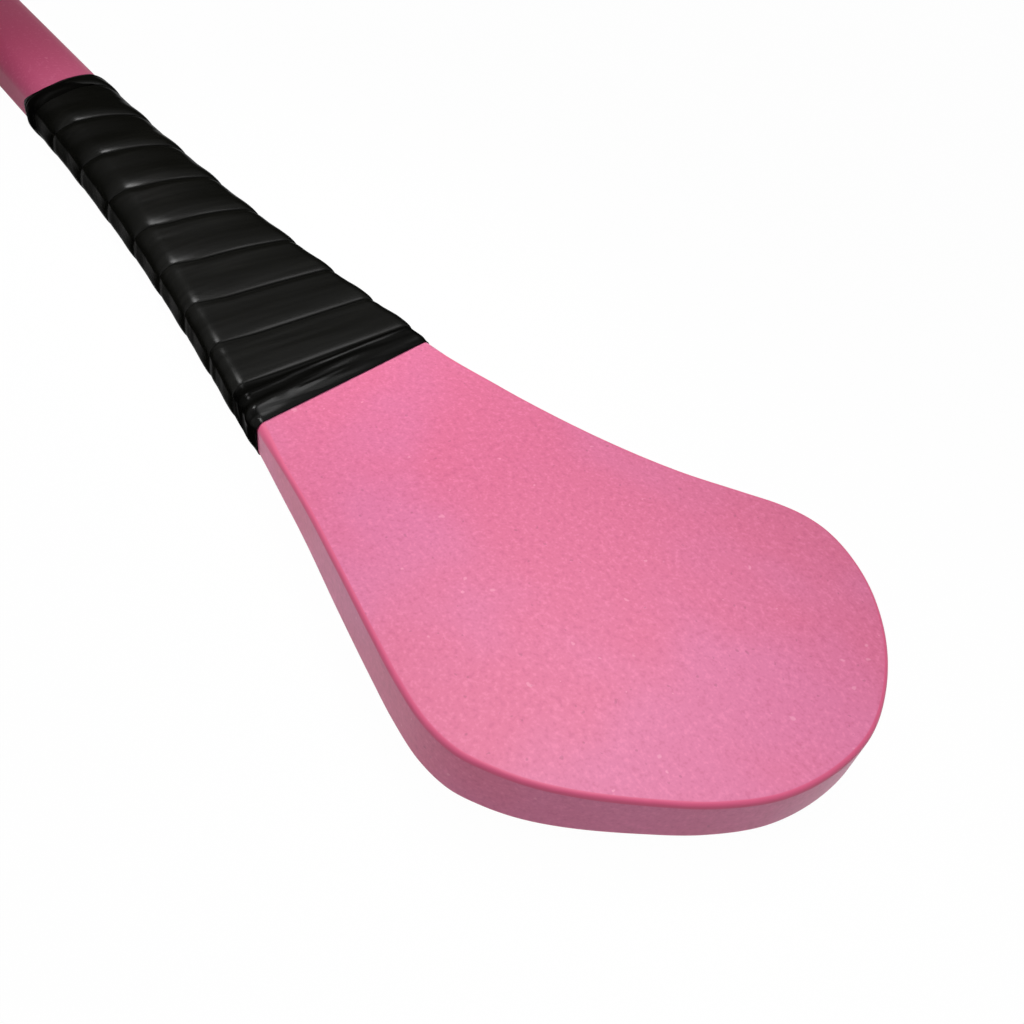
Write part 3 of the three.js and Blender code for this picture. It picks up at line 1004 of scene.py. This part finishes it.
@dataclass
class MouldedBody(SubAssembly):
    """The bas and handle in one moulding, with a bore open at the butt, and the rod and plug in it."""

    rod_diameter: float = 10 * MM
    rod_length: float = 410 * MM
    seat_gap: float = 0.3 * MM
    flange_thickness: float = 3 * MM
    flange_rounding: float = 1 * MM
    spigot_length: float = 14 * MM
    plug_steps: int = 160
    ring_spacing: float = 2.5 * MM
    corner_steps: int = 8
    corner_margin: float = 0.4 * MM
    face_columns: int = 48
    side_columns: int = 4
    steps_per_rung: int = 14
    face_depth: float = 0.01 * MM
    settle_length: float = 12 * MM
    waves: Ripples = Ripples((38 * MM, 30 * MM), 0.05 * MM, seed=4)

    @property
    def corner_turns(self) -> Array:
        """The angles of the points on one rounded corner, from its side to its face."""
        return np.linspace(0, math.pi / 2, self.corner_steps + 1)

    def rings(self, rungs: dict[str, Array]) -> tuple[Array, Array]:
        """The rings of points round the stick at rungs across it.

        Each corner has one more point on its side and one on its face, just past the rounding, so that the
        flat parts are shaded flat right up to it.

        Args:
            rungs: The ends of the rungs, the directions inwards, and the sizes of the section there.

        Returns:
            The rings, in the order of their ways, and how much each point belongs to a corner.
        """
        turns, half, corner = self.corner_turns, rungs["half"][:, None], rungs["corner"][:, None]
        inset = np.hstack([0 * corner, corner * (1 - np.cos(turns)), corner + self.corner_margin])
        height = np.hstack([half - corner - self.corner_margin, half - corner + corner * np.sin(turns), half])
        mark = np.zeros_like(height)
        mark[:, 2:-2] = 1

        def arc(name: str, side: int) -> Array:
            """One rounded corner with its mark, from its side to its face."""
            edge = rungs[name][:, None, :] + rungs[f"{name}_in"][:, None, :] * inset[..., None]
            return np.concatenate([edge, side * height[..., None], mark[..., None]], axis=-1)

        arcs = [arc("heel", -1)[:, ::-1], arc("heel", 1), arc("toe", 1)[:, ::-1], arc("toe", -1)]
        columns_after = (self.side_columns, self.face_columns) * 2
        parts = []
        for here, following, columns in zip(arcs, arcs[1:] + arcs[:1], columns_after):
            shares = (np.arange(columns) + 1)[:, None] / (columns + 1)
            parts += [here, here[:, -1:] + (following[:, :1] - here[:, -1:]) * shares]
        whole = np.roll(np.concatenate(parts, axis=1), self.face_columns // 2, axis=1)
        heel, toe = rungs["heel"][:, 1:], rungs["toe"][:, 1:]
        share = (whole[..., 1] - (heel + toe) / 2) / np.maximum((toe - heel) / 2, self.corner_margin)
        whole[..., 2] *= 1 - rungs["crown"][:, None] * share**2
        return whole[..., :3], whole[..., 3]

    def build_body(self) -> None:
        """Builds the moulding as one skin from the bore's closed end, with faces that are a little uneven."""
        shape = self.shape
        shaft, bas = shape.shaft_rungs(self.ring_spacing), shape.bas_rungs(self.steps_per_rung)
        rungs = {key: np.concatenate([shaft[key], bas[key]]) for key in shaft}
        outer, mark = self.rings(rungs)
        face = np.abs(outer[..., 2]) > (rungs["half"] - self.face_depth)[:, None]
        inset = np.minimum.reduce([
            np.linalg.norm(outer[..., :2] - rungs[name][:, None, :], axis=-1) for name in ("heel", "toe")
        ])
        on_bas = fade(outer[..., 0], shape.neck_place, shape.length)
        settle = fade(inset, 0, self.settle_length) * face * on_bas
        outer[..., 2] -= np.abs(self.waves.at(outer[..., 0], outer[..., 1])) * settle * np.sign(outer[..., 2])
        # Only the bas's corners carry the painted crease shade.
        mark = mark * (outer[..., 0] > shape.neck_place)
        turns = np.arctan2(outer[0, :, 2], outer[0, :, 1])
        radius = self.rod_diameter / 2 + self.seat_gap
        end = self.flange_thickness + self.spigot_length + self.rod_length + 2 * self.seat_gap
        places = ((end, 0), (end, radius), (shape.body_start, radius))
        bore = np.stack([round_ring(turns, *place) for place in places])
        rings = np.concatenate([bore, outer])
        marks = np.concatenate([np.zeros(bore.shape[:2]), mark])
        self.add("bas_and_handle", "body", Slot.BODY, rings, capped=False, mark=marks)

    def build_plug(self) -> None:
        """Builds the plug: a flange with a rounded rim, and a spigot in the bore."""
        start, flange, rounding = self.shape.body_start, self.flange_thickness, self.flange_rounding
        way = np.linspace(0, 1, self.plug_steps, endpoint=False)

        def ring(x: float, out: float) -> Array:
            """A ring of the flange at x, outside the butt's outline by out."""
            return self.shape.surface(start, way, out) * (0, 1, 1) + (x, 0, 0)

        turns = np.arctan2(ring(0, 0)[:, 2], ring(0, 0)[:, 1])
        radius, end = self.rod_diameter / 2, flange + self.spigot_length
        dish = self.shape.section(np.array(start))["half_thickness"] / 2
        spigot = ((flange, radius), (end - rounding, radius), (end, radius - rounding), (end, 0))
        rings = [
            round_ring(turns, 0, 0),
            ring(0, -dish),
            ring(0, -rounding),
            *(
                ring(rounding * (1 - math.cos(turn)), -rounding * (1 - math.sin(turn)))
                for turn in self.corner_turns[1:]
            ),
            ring(flange, 0),
            *(round_ring(turns, *place) for place in spigot),
        ]
        self.add("butt_cap", "butt_plug", Slot.PLUG, np.stack(rings), capped=False)

    def build(self, rod: Thing) -> None:
        """Builds the body and the plug, and dresses the rod.

        Args:
            rod: The frame's own rod, which keeps its shape in the bore.
        """
        self.build_body()
        self.build_plug()
        rod.data.materials.clear()
        rod.data.materials.append(self.finishes.rod)
        LOG.info("core_rod keeps its own shape, hidden in the bore")


# The windings

UPPER_FACE_FADE: Span = (0.42, 0.24)
LOWER_FACE_FADE: Span = (0, 0.2)


def heel_side(way: Array) -> Array:
    """How much a way belongs to the heel side, fading out over the two faces."""
    return fade(way % 1.0, *UPPER_FACE_FADE) * fade(way % 1.0, *LOWER_FACE_FADE)


@dataclass(frozen=True)
class Seam:
    """The line between two turns of a winding: a helix whose pitch changes evenly.

    Attributes:
        shape: The stick's shape.
        start: Where the helix starts.
        end: Where it ends, after all its turns and one more.
        turns: The number of turns.
        last_pitch_share: The last pitch as a share of the first.
        lean: The slope of the helix across the faces.
        heel_drop: How far the first turns hang back along the stick on the heel side.
    """

    shape: StickShape
    start: float
    end: float
    turns: int
    last_pitch_share: float = 1
    lean: float = 0
    heel_drop: float = 0

    def at(self, along: Array) -> Array:
        """The seam's place along the stick.

        Args:
            along: How far along the helix, in turns.

        Returns:
            The place along the stick at each of them.
        """
        loops = self.turns + 1
        first_pitch = (self.end - self.start) / (loops * (1 + self.last_pitch_share) / 2)
        x = self.start + first_pitch * along * (1 - (1 - self.last_pitch_share) * along / (2 * loops))
        drop = self.heel_drop * np.clip(1 - along / loops, 0, 1) * heel_side(along)
        return x - self.lean * self.shape.surface(x, along % 1.0, 0)[..., 1] - drop


@dataclass(frozen=True)
class TapeProfile:
    """The section of a wound tape, which lies under one neighbour at its covered edge and over the other.

    The heights are given outside the stick, and places across the tape are counted from the line where it
    comes out from under its neighbour to its raised edge.

    Attributes:
        under: The height of its lower side on the stick.
        bevelled: The height of its covered edge.
        dip: Its height where it comes out from under its neighbour.
        flat: Its height between its edges.
        raised: Its height just before its raised edge.
        overlap: How far it lies under or over its neighbour.
        dip_length: How far it takes to rise from the dip.
        climb_length: How far it takes to climb to the raised edge.
        roll_length: How far its raised edge is rounded off.
        clearance: How far its lower side keeps from its neighbour.
        seat_length: How far it takes to come down onto the stick, past its neighbour.
        edge_share: The most of a narrow tape's width that its dip or its rounding takes.
        climb_share: The most of a narrow tape's width that its climb takes.
        calm_share: How far from the raised edge it ripples fully, as a multiple of the rounding.
        top_steps: How many points there are across its top.
        roll_steps: How many points there are round its raised edge.
        under_steps: How many points there are where it lies over its neighbour.
    """

    under: float = 0.05 * MM
    bevelled: float = 0.2 * MM
    dip: float = 0.8 * MM
    flat: float = 1.12 * MM
    raised: float = 1.62 * MM
    overlap: float = 3 * MM
    dip_length: float = 2.6 * MM
    climb_length: float = 9 * MM
    roll_length: float = 4.6 * MM
    clearance: float = 0.06 * MM
    seat_length: float = 0.3 * MM
    edge_share: float = 1 / 3
    climb_share: float = 0.7
    calm_share: float = 2.5
    top_steps: int = 26
    roll_steps: int = 9
    under_steps: int = 5

    def ring(self, width: Array, covered: Array) -> tuple[Array, Array, Array]:
        """The section as closed rings of points.

        Args:
            width: The distance between the tape's two lines, for each ring.
            covered: How wide the covered edge is, for each ring.

        Returns:
            The places across the tape, the heights, and how freely each point may ripple.
        """
        width, covered = width[:, None], covered[:, None]
        zero = 0 * width
        roll = np.minimum(self.roll_length, width * self.edge_share)
        climb = np.minimum(self.climb_length, width * self.climb_share)
        lift = (self.raised - self.flat) * np.minimum(1, width / self.climb_length)
        top = np.linspace(0, 1, self.top_steps)[None, :] * (width - roll)
        rise = fade(top / np.minimum(self.dip_length, width * self.edge_share), 0, 1)
        height = blend(self.dip, self.flat, rise) + lift * fade((width - top - roll) / climb, 1, 0)
        turn = np.linspace(0, math.pi / 2, self.roll_steps)[None, 1:]
        edge = width - roll + roll * np.sin(turn)
        drop = self.flat + lift - self.dip - self.clearance
        edge_height = self.flat + lift - drop * (1 - np.cos(turn))
        back = np.linspace(0, 1, self.under_steps)[None, 1:]
        lapped = np.maximum(width - back * self.overlap, width / 2)
        lapped_height = blend(self.dip, self.bevelled, back) + self.clearance + zero
        seated = np.maximum(width - self.overlap - self.seat_length, width / 2 - self.clearance)
        hidden = -covered * np.array([[1.0, 1.0, 0.5]])
        hidden_height = np.array([[self.under, self.bevelled, (self.bevelled + self.dip) / 2]]) + zero
        x = np.concatenate([top, edge, lapped, seated, hidden], axis=1)
        out = np.concatenate([height, edge_height, lapped_height, self.under + zero, hidden_height], axis=1)
        loose = fade(top, 0, self.dip_length) * fade(width - top, roll, self.calm_share * roll)
        stiff = np.zeros((len(x), x.shape[1] - loose.shape[1]))
        return x, out, np.concatenate([loose, stiff], axis=1)


@dataclass(frozen=True)
class Fold:
    """One low ridge drawn into a finishing tape, which runs slantwise round the stick.

    Attributes:
        ways: The ways of its start and its end.
        acrosses: How far across the tape it starts and ends, from 0 to 1.
        height: How high it is.
        width: How wide it is, as a share of the tape's width.
        start_fade: The shares of its run between which it grows.
        end_fade: The shares of its run between which it grows from its other end.
    """

    ways: Span
    acrosses: Span
    height: float
    width: float
    start_fade: Span = (-0.15, 0.1)
    end_fade: Span = (1.15, 0.7)

    def at(self, way: Array, across: Array) -> Array:
        """The ridge's height at places on the tape.

        Args:
            way: Their ways.
            across: How far across the tape they lie.

        Returns:
            The heights.
        """
        share = (way - self.ways[0]) / (self.ways[1] - self.ways[0])
        line = blend(*self.acrosses, np.clip(share, 0, 1))
        ends = fade(share, *self.start_fade) * fade(share, *self.end_fade)
        return self.height * ends * np.exp(-(((across - line) / self.width) ** 2))


@dataclass(frozen=True)
class Creases:
    """The fine creases of a finishing tape.

    Attributes:
        ripples: Their form.
        girth: The length round the stick over which they are laid out.
        first_fade: The places across the tape between which they grow from its first edge.
        last_fade: The places across the tape between which they grow from its last edge.
    """

    ripples: Ripples
    girth: float
    first_fade: Span
    last_fade: Span

    def at(self, way: Array, across: Array, place: Array) -> Array:
        """The creases' heights at ways, at shares across the tape and at the lengths that go with them."""
        growth = fade(across, *self.first_fade) * fade(across, *self.last_fade)
        return self.ripples.at(way * self.girth, place) * growth


@dataclass
class Winding(SubAssembly):
    """A tape wound along the stick, with the finishing tapes at its ends."""

    seam: Seam = field(init=False)
    profile: TapeProfile = TapeProfile()
    steps_per_turn: int = 150
    lead: float = 0.96
    least_width: float = 0.4 * MM
    wrinkles: Ripples = Ripples((40 * MM, 3.4 * MM), 0.045 * MM, waves=14, seed=7)
    swell: Ripples = Ripples((60 * MM, 22 * MM), 0.12 * MM, waves=7, seed=12)
    wrinkle_growth: float = 3
    growth_turns: Span = (3, 1)
    heel_calm: float = 0.6
    end_inset: float = 1.2 * MM
    bare_thickness: float = 0.3 * MM
    tape_thickness: float = 0.15 * MM
    way_margin: float = 0.001
    ring_steps: int = 320
    row_steps: int = 56

    @property
    def ways(self) -> Array:
        """The ways of a finishing tape's rings, one to a row."""
        return np.linspace(self.way_margin, 1 - self.way_margin, self.ring_steps)[:, None]

    @property
    def across(self) -> Array:
        """The places across a finishing tape, from 0 to 1, in one row."""
        return np.linspace(0, 1, self.row_steps)[None, :]

    def strip(self, name: str, node: str, along: Array, lines: tuple[Array, Array], covered: Array) -> None:
        """Adds the tape as one unbroken strip.

        Args:
            name: The piece's name.
            node: The node that it stands for.
            along: The places on the helix, in turns.
            lines: Where the tape comes out from under its neighbour, and where its raised edge lies.
            covered: How far it lies under its neighbour.
        """
        start, raised = lines
        heading = np.sign((raised - start).sum())
        width = np.maximum(heading * (raised - start), self.least_width)
        across, out, loose = self.profile.ring(width, covered)
        size = self.shape.section(self.seam.at(along))
        girth = 4 * (size["half_width"] + size["half_thickness"] - (2 - math.pi / 2) * size["corner"])
        length = (along * girth)[:, None]
        first, last = (self.seam.turns - turns for turns in self.growth_turns)
        growth = (1 + self.wrinkle_growth * fade(along, first, last))[:, None]
        out = out + loose * (growth * self.wrinkles.at(length, across) + self.swell.at(length, across))
        dip, calm = self.profile.dip, 1 - self.heel_calm * heel_side(along)[:, None]
        out = np.where(out > dip, dip + (out - dip) * calm, out)
        points = self.shape.surface(start[:, None] + heading * across, along[:, None], out)
        self.add(name, node, Slot.GRIP, points, sharp_angle=70)

    def band(self, name: str, node: str, rows: Array, heights: Array) -> None:
        """Adds a finishing tape as one thin closed band.

        Args:
            name: The piece's name.
            node: The node that it stands for.
            rows: The places along the stick of the points across the band, for each way.
            heights: The heights of its outer side there.
        """
        inner = np.full_like(heights, self.profile.under)
        for edge in (0, -1):
            inner[:, edge] = np.maximum(heights[:, edge] - self.tape_thickness, self.profile.under)
        x = np.concatenate([rows, rows[:, ::-1]], axis=1)
        out = np.concatenate([heights, inner[:, ::-1]], axis=1)
        self.add(name, node, Slot.FINISHING, self.shape.surface(x, self.ways, out), sharp_angle=60)


@dataclass
class LowerWrap(Winding):
    """The wrap between the uncovered handle and the bas, with a finishing tape at each end."""

    turns: int = 8
    last_pitch_share: float = 0.59
    lean: float = 0.155
    heel_drop: float = 9.5 * MM
    turn_overrun: float = 0.0001
    lapping: Span = (0.06, 0.2)
    handle_band_width: float = 2.5 * MM
    handle_edge_inset: float = 8 * MM
    handle_edge_lean: float = 0.3
    handle_edge_drop: float = 11 * MM
    handle_tape_width: float = 10 * MM
    handle_tape_layers: int = 2
    handle_step: Span = (0, 0.36)
    handle_sink: float = 0.27 * MM
    handle_sink_shares: Span = (0.55, 1)
    handle_creases: Creases = Creases(
        Ripples((26 * MM, 3 * MM), 0.1 * MM, waves=8, seed=21), 80 * MM, (0, 0.3), (1, 0.85)
    )
    bas_band_width: float = 4.5 * MM
    bas_band_lean: float = 0.145
    bas_edge_inset: float = 1.3 * MM
    bas_tape_lap: float = 0.2 * MM
    bas_step: Span = (0.62, 0.97)
    bas_creases: Creases = Creases(
        Ripples((60 * MM, 4 * MM), 0.1 * MM, waves=9, seed=33), 140 * MM, (0, 0.2), (0.95, 0.7)
    )
    folds: tuple[Fold, ...] = (
        Fold((0.27, 0.6), (0.66, 0.3), 0.42 * MM, 0.13),
        Fold((0.27, 0.36), (0.75, 0.62), 0.3 * MM, 0.18),
        Fold((0.4, 0.7), (0.18, 0.12), 0.3 * MM, 0.06),
        Fold((0.26, 0.42), (0.3, 0.2), 0.3 * MM, 0.08),
        Fold((0.4, 0.52), (0.66, 0.62), 0.12 * MM, 0.04),
        Fold((0.8, 0.96), (0.5, 0.25), 0.2 * MM, 0.09),
        Fold((0.04, 0.22), (0.3, 0.55), 0.2 * MM, 0.08),
        Fold((0.84, 0.99), (0.2, 0.5), 0.14 * MM, 0.06),
    )

    def __post_init__(self) -> None:
        """Lays out the seam between the turns."""
        start = self.shape.wrap_start + self.handle_band_width
        end = self.shape.neck_place - self.bas_band_width
        self.seam = Seam(self.shape, start, end, self.turns, self.last_pitch_share, self.lean, self.heel_drop)

    def handle_edge(self, way: Array) -> Array:
        """The edge of the wrap towards the handle.

        Args:
            way: The ways of its points.

        Returns:
            Their places along the stick.
        """
        start = self.shape.wrap_start + self.handle_edge_inset
        level = self.shape.level_edge(start, self.handle_edge_lean, way)
        return level - self.handle_edge_drop * heel_side(way)

    def build_tape(self) -> None:
        """Builds the wound tape, with a first turn that is cut to the handle edge."""
        along = np.arange(-self.lead, self.turns + self.turn_overrun, 1 / self.steps_per_turn)
        start = np.maximum(self.handle_edge(along) + self.end_inset, self.seam.at(np.maximum(along, 0)))
        covered = self.profile.overlap * fade(along, *self.lapping)
        self.strip("wrap_tape", "lower_wrap", along, (start, self.seam.at(along + 1)), covered)

    def build_handle_tape(self) -> None:
        """Builds the finishing tape next to the handle, which steps up from the stick onto the wrap."""
        place = self.across * self.handle_tape_width
        top = self.profile.flat + self.handle_tape_layers * self.tape_thickness
        heights = blend(self.bare_thickness, top, fade(self.across, *self.handle_step))
        heights = heights - self.handle_sink * fade(self.across, *self.handle_sink_shares)
        heights = heights + self.handle_creases.at(self.ways, self.across, place)
        rows = self.handle_edge(self.ways) + place
        self.band("wrap_handle_end_tape", "lower_wrap_handle_band", rows, heights)

    def build_bas_tape(self) -> None:
        """Builds the finishing tape next to the bas, drawn down tight from the wrap's end to the stick."""
        low = self.seam.at(self.turns + self.ways) - self.bas_tape_lap
        end = self.shape.neck_place - self.bas_edge_inset
        place = (self.shape.level_edge(end, self.bas_band_lean, self.ways) - low) * self.across
        heights = blend(self.profile.dip, self.bare_thickness, fade(self.across, *self.bas_step))
        heights = heights + sum(fold.at(self.ways, self.across) for fold in self.folds)
        heights = heights + self.bas_creases.at(self.ways, self.across, place)
        self.band("wrap_bas_end_tape", "lower_wrap_bas_band", low + place, heights)

    def build(self) -> None:
        """Builds the wrap and its finishing tapes."""
        self.build_tape()
        self.build_handle_tape()
        self.build_bas_tape()


@dataclass
class UpperGrip(Winding):
    """The grip at the butt, wound down from there, with a finishing tape at its lower end."""

    turns: int = 9
    seat_gap: float = 0.3 * MM
    overrun: float = 0.95
    start_lap: float = 0.2 * MM
    last_lapping: Span = (0.12, 0.3)
    band_width: float = 5 * MM
    end_tape_width: float = 17 * MM
    end_step: Span = (0.68, 0.94)
    end_creases: Creases = Creases(
        Ripples((40 * MM, 5 * MM), 0.12 * MM, waves=8, seed=41), 90 * MM, (0, 0.2), (1, 0.9)
    )
    ring_steps: int = 200
    row_steps: int = 36

    def __post_init__(self) -> None:
        """Lays out the seam between the turns."""
        start = self.shape.body_start + self.seat_gap
        self.seam = Seam(self.shape, start, self.shape.grip_end - self.band_width, self.turns)

    def build_tape(self) -> None:
        """Builds the wound tape, whose raised edges face the butt, with ends that are cut level."""
        along = np.arange(-self.lead, self.turns + self.overrun, 1 / self.steps_per_turn)
        raised = np.where(along < 0, self.seam.start + self.start_lap, self.seam.at(np.maximum(along, 0)))
        start = np.minimum(self.seam.at(along + 1), self.shape.grip_end - self.end_inset)
        first, last = (self.turns - before for before in self.last_lapping)
        covered = self.profile.overlap * fade(along, first, last)
        self.strip("grip_wound_tape", "upper_grip", along, (start, raised), covered)

    def build_end_tape(self) -> None:
        """Builds the finishing tape at the lower end, which steps down from the grip onto the stick."""
        rows = self.shape.grip_end + (self.across - 1) * self.end_tape_width + 0 * self.ways
        top = self.profile.raised + self.tape_thickness
        heights = blend(top, self.bare_thickness, fade(self.across, *self.end_step))
        heights = heights + self.end_creases.at(self.ways, self.across, rows)
        self.band("grip_end_tape", "upper_grip_band", rows, heights)

    def build(self) -> None:
        """Builds the grip and its finishing tape."""
        self.build_tape()
        self.build_end_tape()


# The studio


@dataclass(frozen=True)
class Softbox:
    """A large soft lamp that looks at a point.

    Attributes:
        name: The lamp's name.
        direction: The direction in which it lies from the point: its heading and its height, in degrees.
        distance: How far away it is.
        size: The length of its sides.
        power: Its power in watts.
        spread: How widely its light spreads, in degrees.
        target: The point that it looks at.
    """

    name: str
    direction: Span
    distance: float
    size: float
    power: float
    spread: float = 180.0
    target: tuple[float, float, float] = (0.28, 0.0, 0.02)

    def build(self) -> None:
        """Hangs the lamp."""
        heading, height = (math.radians(angle) for angle in self.direction)
        level = math.cos(height)
        away = Vector((math.cos(heading) * level, math.sin(heading) * level, math.sin(height)))
        lamp = bpy.data.lights.new(self.name, "AREA")
        lamp.shape = "SQUARE"
        lamp.size = self.size
        lamp.energy = self.power
        lamp.spread = math.radians(self.spread)
        holder = linked(self.name, lamp)
        holder.location = Vector(self.target) + away * self.distance
        holder.rotation_euler = away.to_track_quat("Z", "Y").to_euler()


@dataclass
class Studio:
    """The plain pale floor, the soft light and the camera."""

    view_place: tuple[float, float, float] = (0.432177, -0.128354, 0.189246)
    view_turn: tuple[float, float, float] = (44.185, -7.516, 51.58)
    lens: float = 35.156
    sensor: float = 36.0
    nearest: float = 5 * MM
    floor_size: float = 12.0
    floor_shade: Shade = (240, 240, 240)
    floor_roughness: float = 0.9
    floor_white_share: float = 0.985
    surroundings: float = 0.1
    softboxes: tuple[Softbox, ...] = (
        Softbox("key softbox", (124, 62), 0.6, 0.3, 0.25, 54, (0.38, -0.055, 0.02)),
        Softbox("wrap softbox", (195, 59), 0.4, 0.17, 0.115, 32, (0.157, 0.0, 0.03)),
        Softbox("tip softbox", (0, 88), 0.3, 0.15, 0.05, 60, (0.39, -0.03, 0.02)),
        Softbox("butt softbox", (100, 72), 0.8, 0.4, 0.55, 40, (-0.28, 0.0, 0.03)),
        Softbox("side softbox", (-100, 22), 1.4, 0.8, 1.25),
    )

    def build_camera(self) -> None:
        """Sets up the camera at the photograph's viewing angle."""
        lens = bpy.data.cameras.new("view")
        lens.lens = self.lens
        lens.sensor_width = self.sensor
        lens.clip_start = self.nearest
        holder = linked("view", lens)
        holder.location = self.view_place
        holder.rotation_euler = [math.radians(angle) for angle in self.view_turn]
        bpy.context.scene.camera = holder

    @staticmethod
    def show_white(tree: Tree, share: float, plain: Socket, white: Socket, end: Socket) -> None:
        """Shows white in place of a plain shader to the rays that show the background.

        They go straight to the camera, into a reflection or through glass.

        Args:
            tree: The node tree.
            share: How much of the white they see.
            plain: The plain shader.
            white: The white shader.
            end: The socket that takes both.
        """
        path = tree.node("LightPath").outputs
        seen = tree.math("MAXIMUM", path["Is Camera Ray"], path["Is Glossy Ray"])
        seen = tree.math("MAXIMUM", seen, path["Is Transmission Ray"])
        mixed = tree.node("MixShader")
        for socket, value in zip(mixed.inputs, (tree.scaled(seen, share), plain, white)):
            tree.feed(socket, value)
        tree.feed(end, mixed.outputs[0])

    def build_floor(self) -> None:
        """Lays the floor, which shows white to the camera but keeps the object's shadow."""
        mesh = bpy.data.meshes.new("floor")
        half = self.floor_size / 2
        corners = [(-half, -half, 0), (half, -half, 0), (half, half, 0), (-half, half, 0)]
        mesh.from_pydata(corners, [], [(0, 1, 2, 3)])
        floor = linked("floor", mesh)
        surface = Surface("pale floor")
        material = surface.finish(
            Base_Color=linear(self.floor_shade),
            Roughness=self.floor_roughness,
            Specular_IOR_Level=0.0,
        )
        nodes = material.node_tree.nodes
        white = surface.node("Emission", Color=WHITE, Strength=1.0).outputs[0]
        plain, end = nodes["Principled BSDF"].outputs["BSDF"], nodes["Material Output"].inputs["Surface"]
        self.show_white(surface, self.floor_white_share, plain, white, end)
        mesh.materials.append(material)

    def build_surroundings(self) -> None:
        """Sets up the even light from all round, and the white that shows past the floor."""
        world = bpy.data.worlds.new("studio")
        bpy.context.scene.world = world
        world.use_nodes = True
        tree, nodes = Tree(world.node_tree), world.node_tree.nodes
        tree.feed_all(nodes["Background"], {"Color": WHITE, "Strength": self.surroundings})
        white = tree.node("Background", Color=WHITE, Strength=1.0).outputs[0]
        end = nodes["World Output"].inputs["Surface"]
        self.show_white(tree, 1.0, nodes["Background"].outputs[0], white, end)

    def build(self) -> None:
        """Sets up the whole studio."""
        bpy.context.scene.view_settings.view_transform = "Standard"
        self.build_camera()
        self.build_floor()
        self.build_surroundings()
        for softbox in self.softboxes:
            softbox.build()


def main() -> None:
    """Dresses the hurley around its frame and sets up the studio."""
    logging.basicConfig(level=logging.INFO, format="%(name)s: %(message)s")
    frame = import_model()
    shape = StickShape()
    pose = StickPose.from_record(frame["record"], shape.marked_place)
    Studio().build()
    finishes = Finishes()
    MouldedBody(shape, pose, finishes).build(frame["nodes"]["core_rod"])
    LowerWrap(shape, pose, finishes).build()
    UpperGrip(shape, pose, finishes).build()


if __name__ == "__main__":
    main()
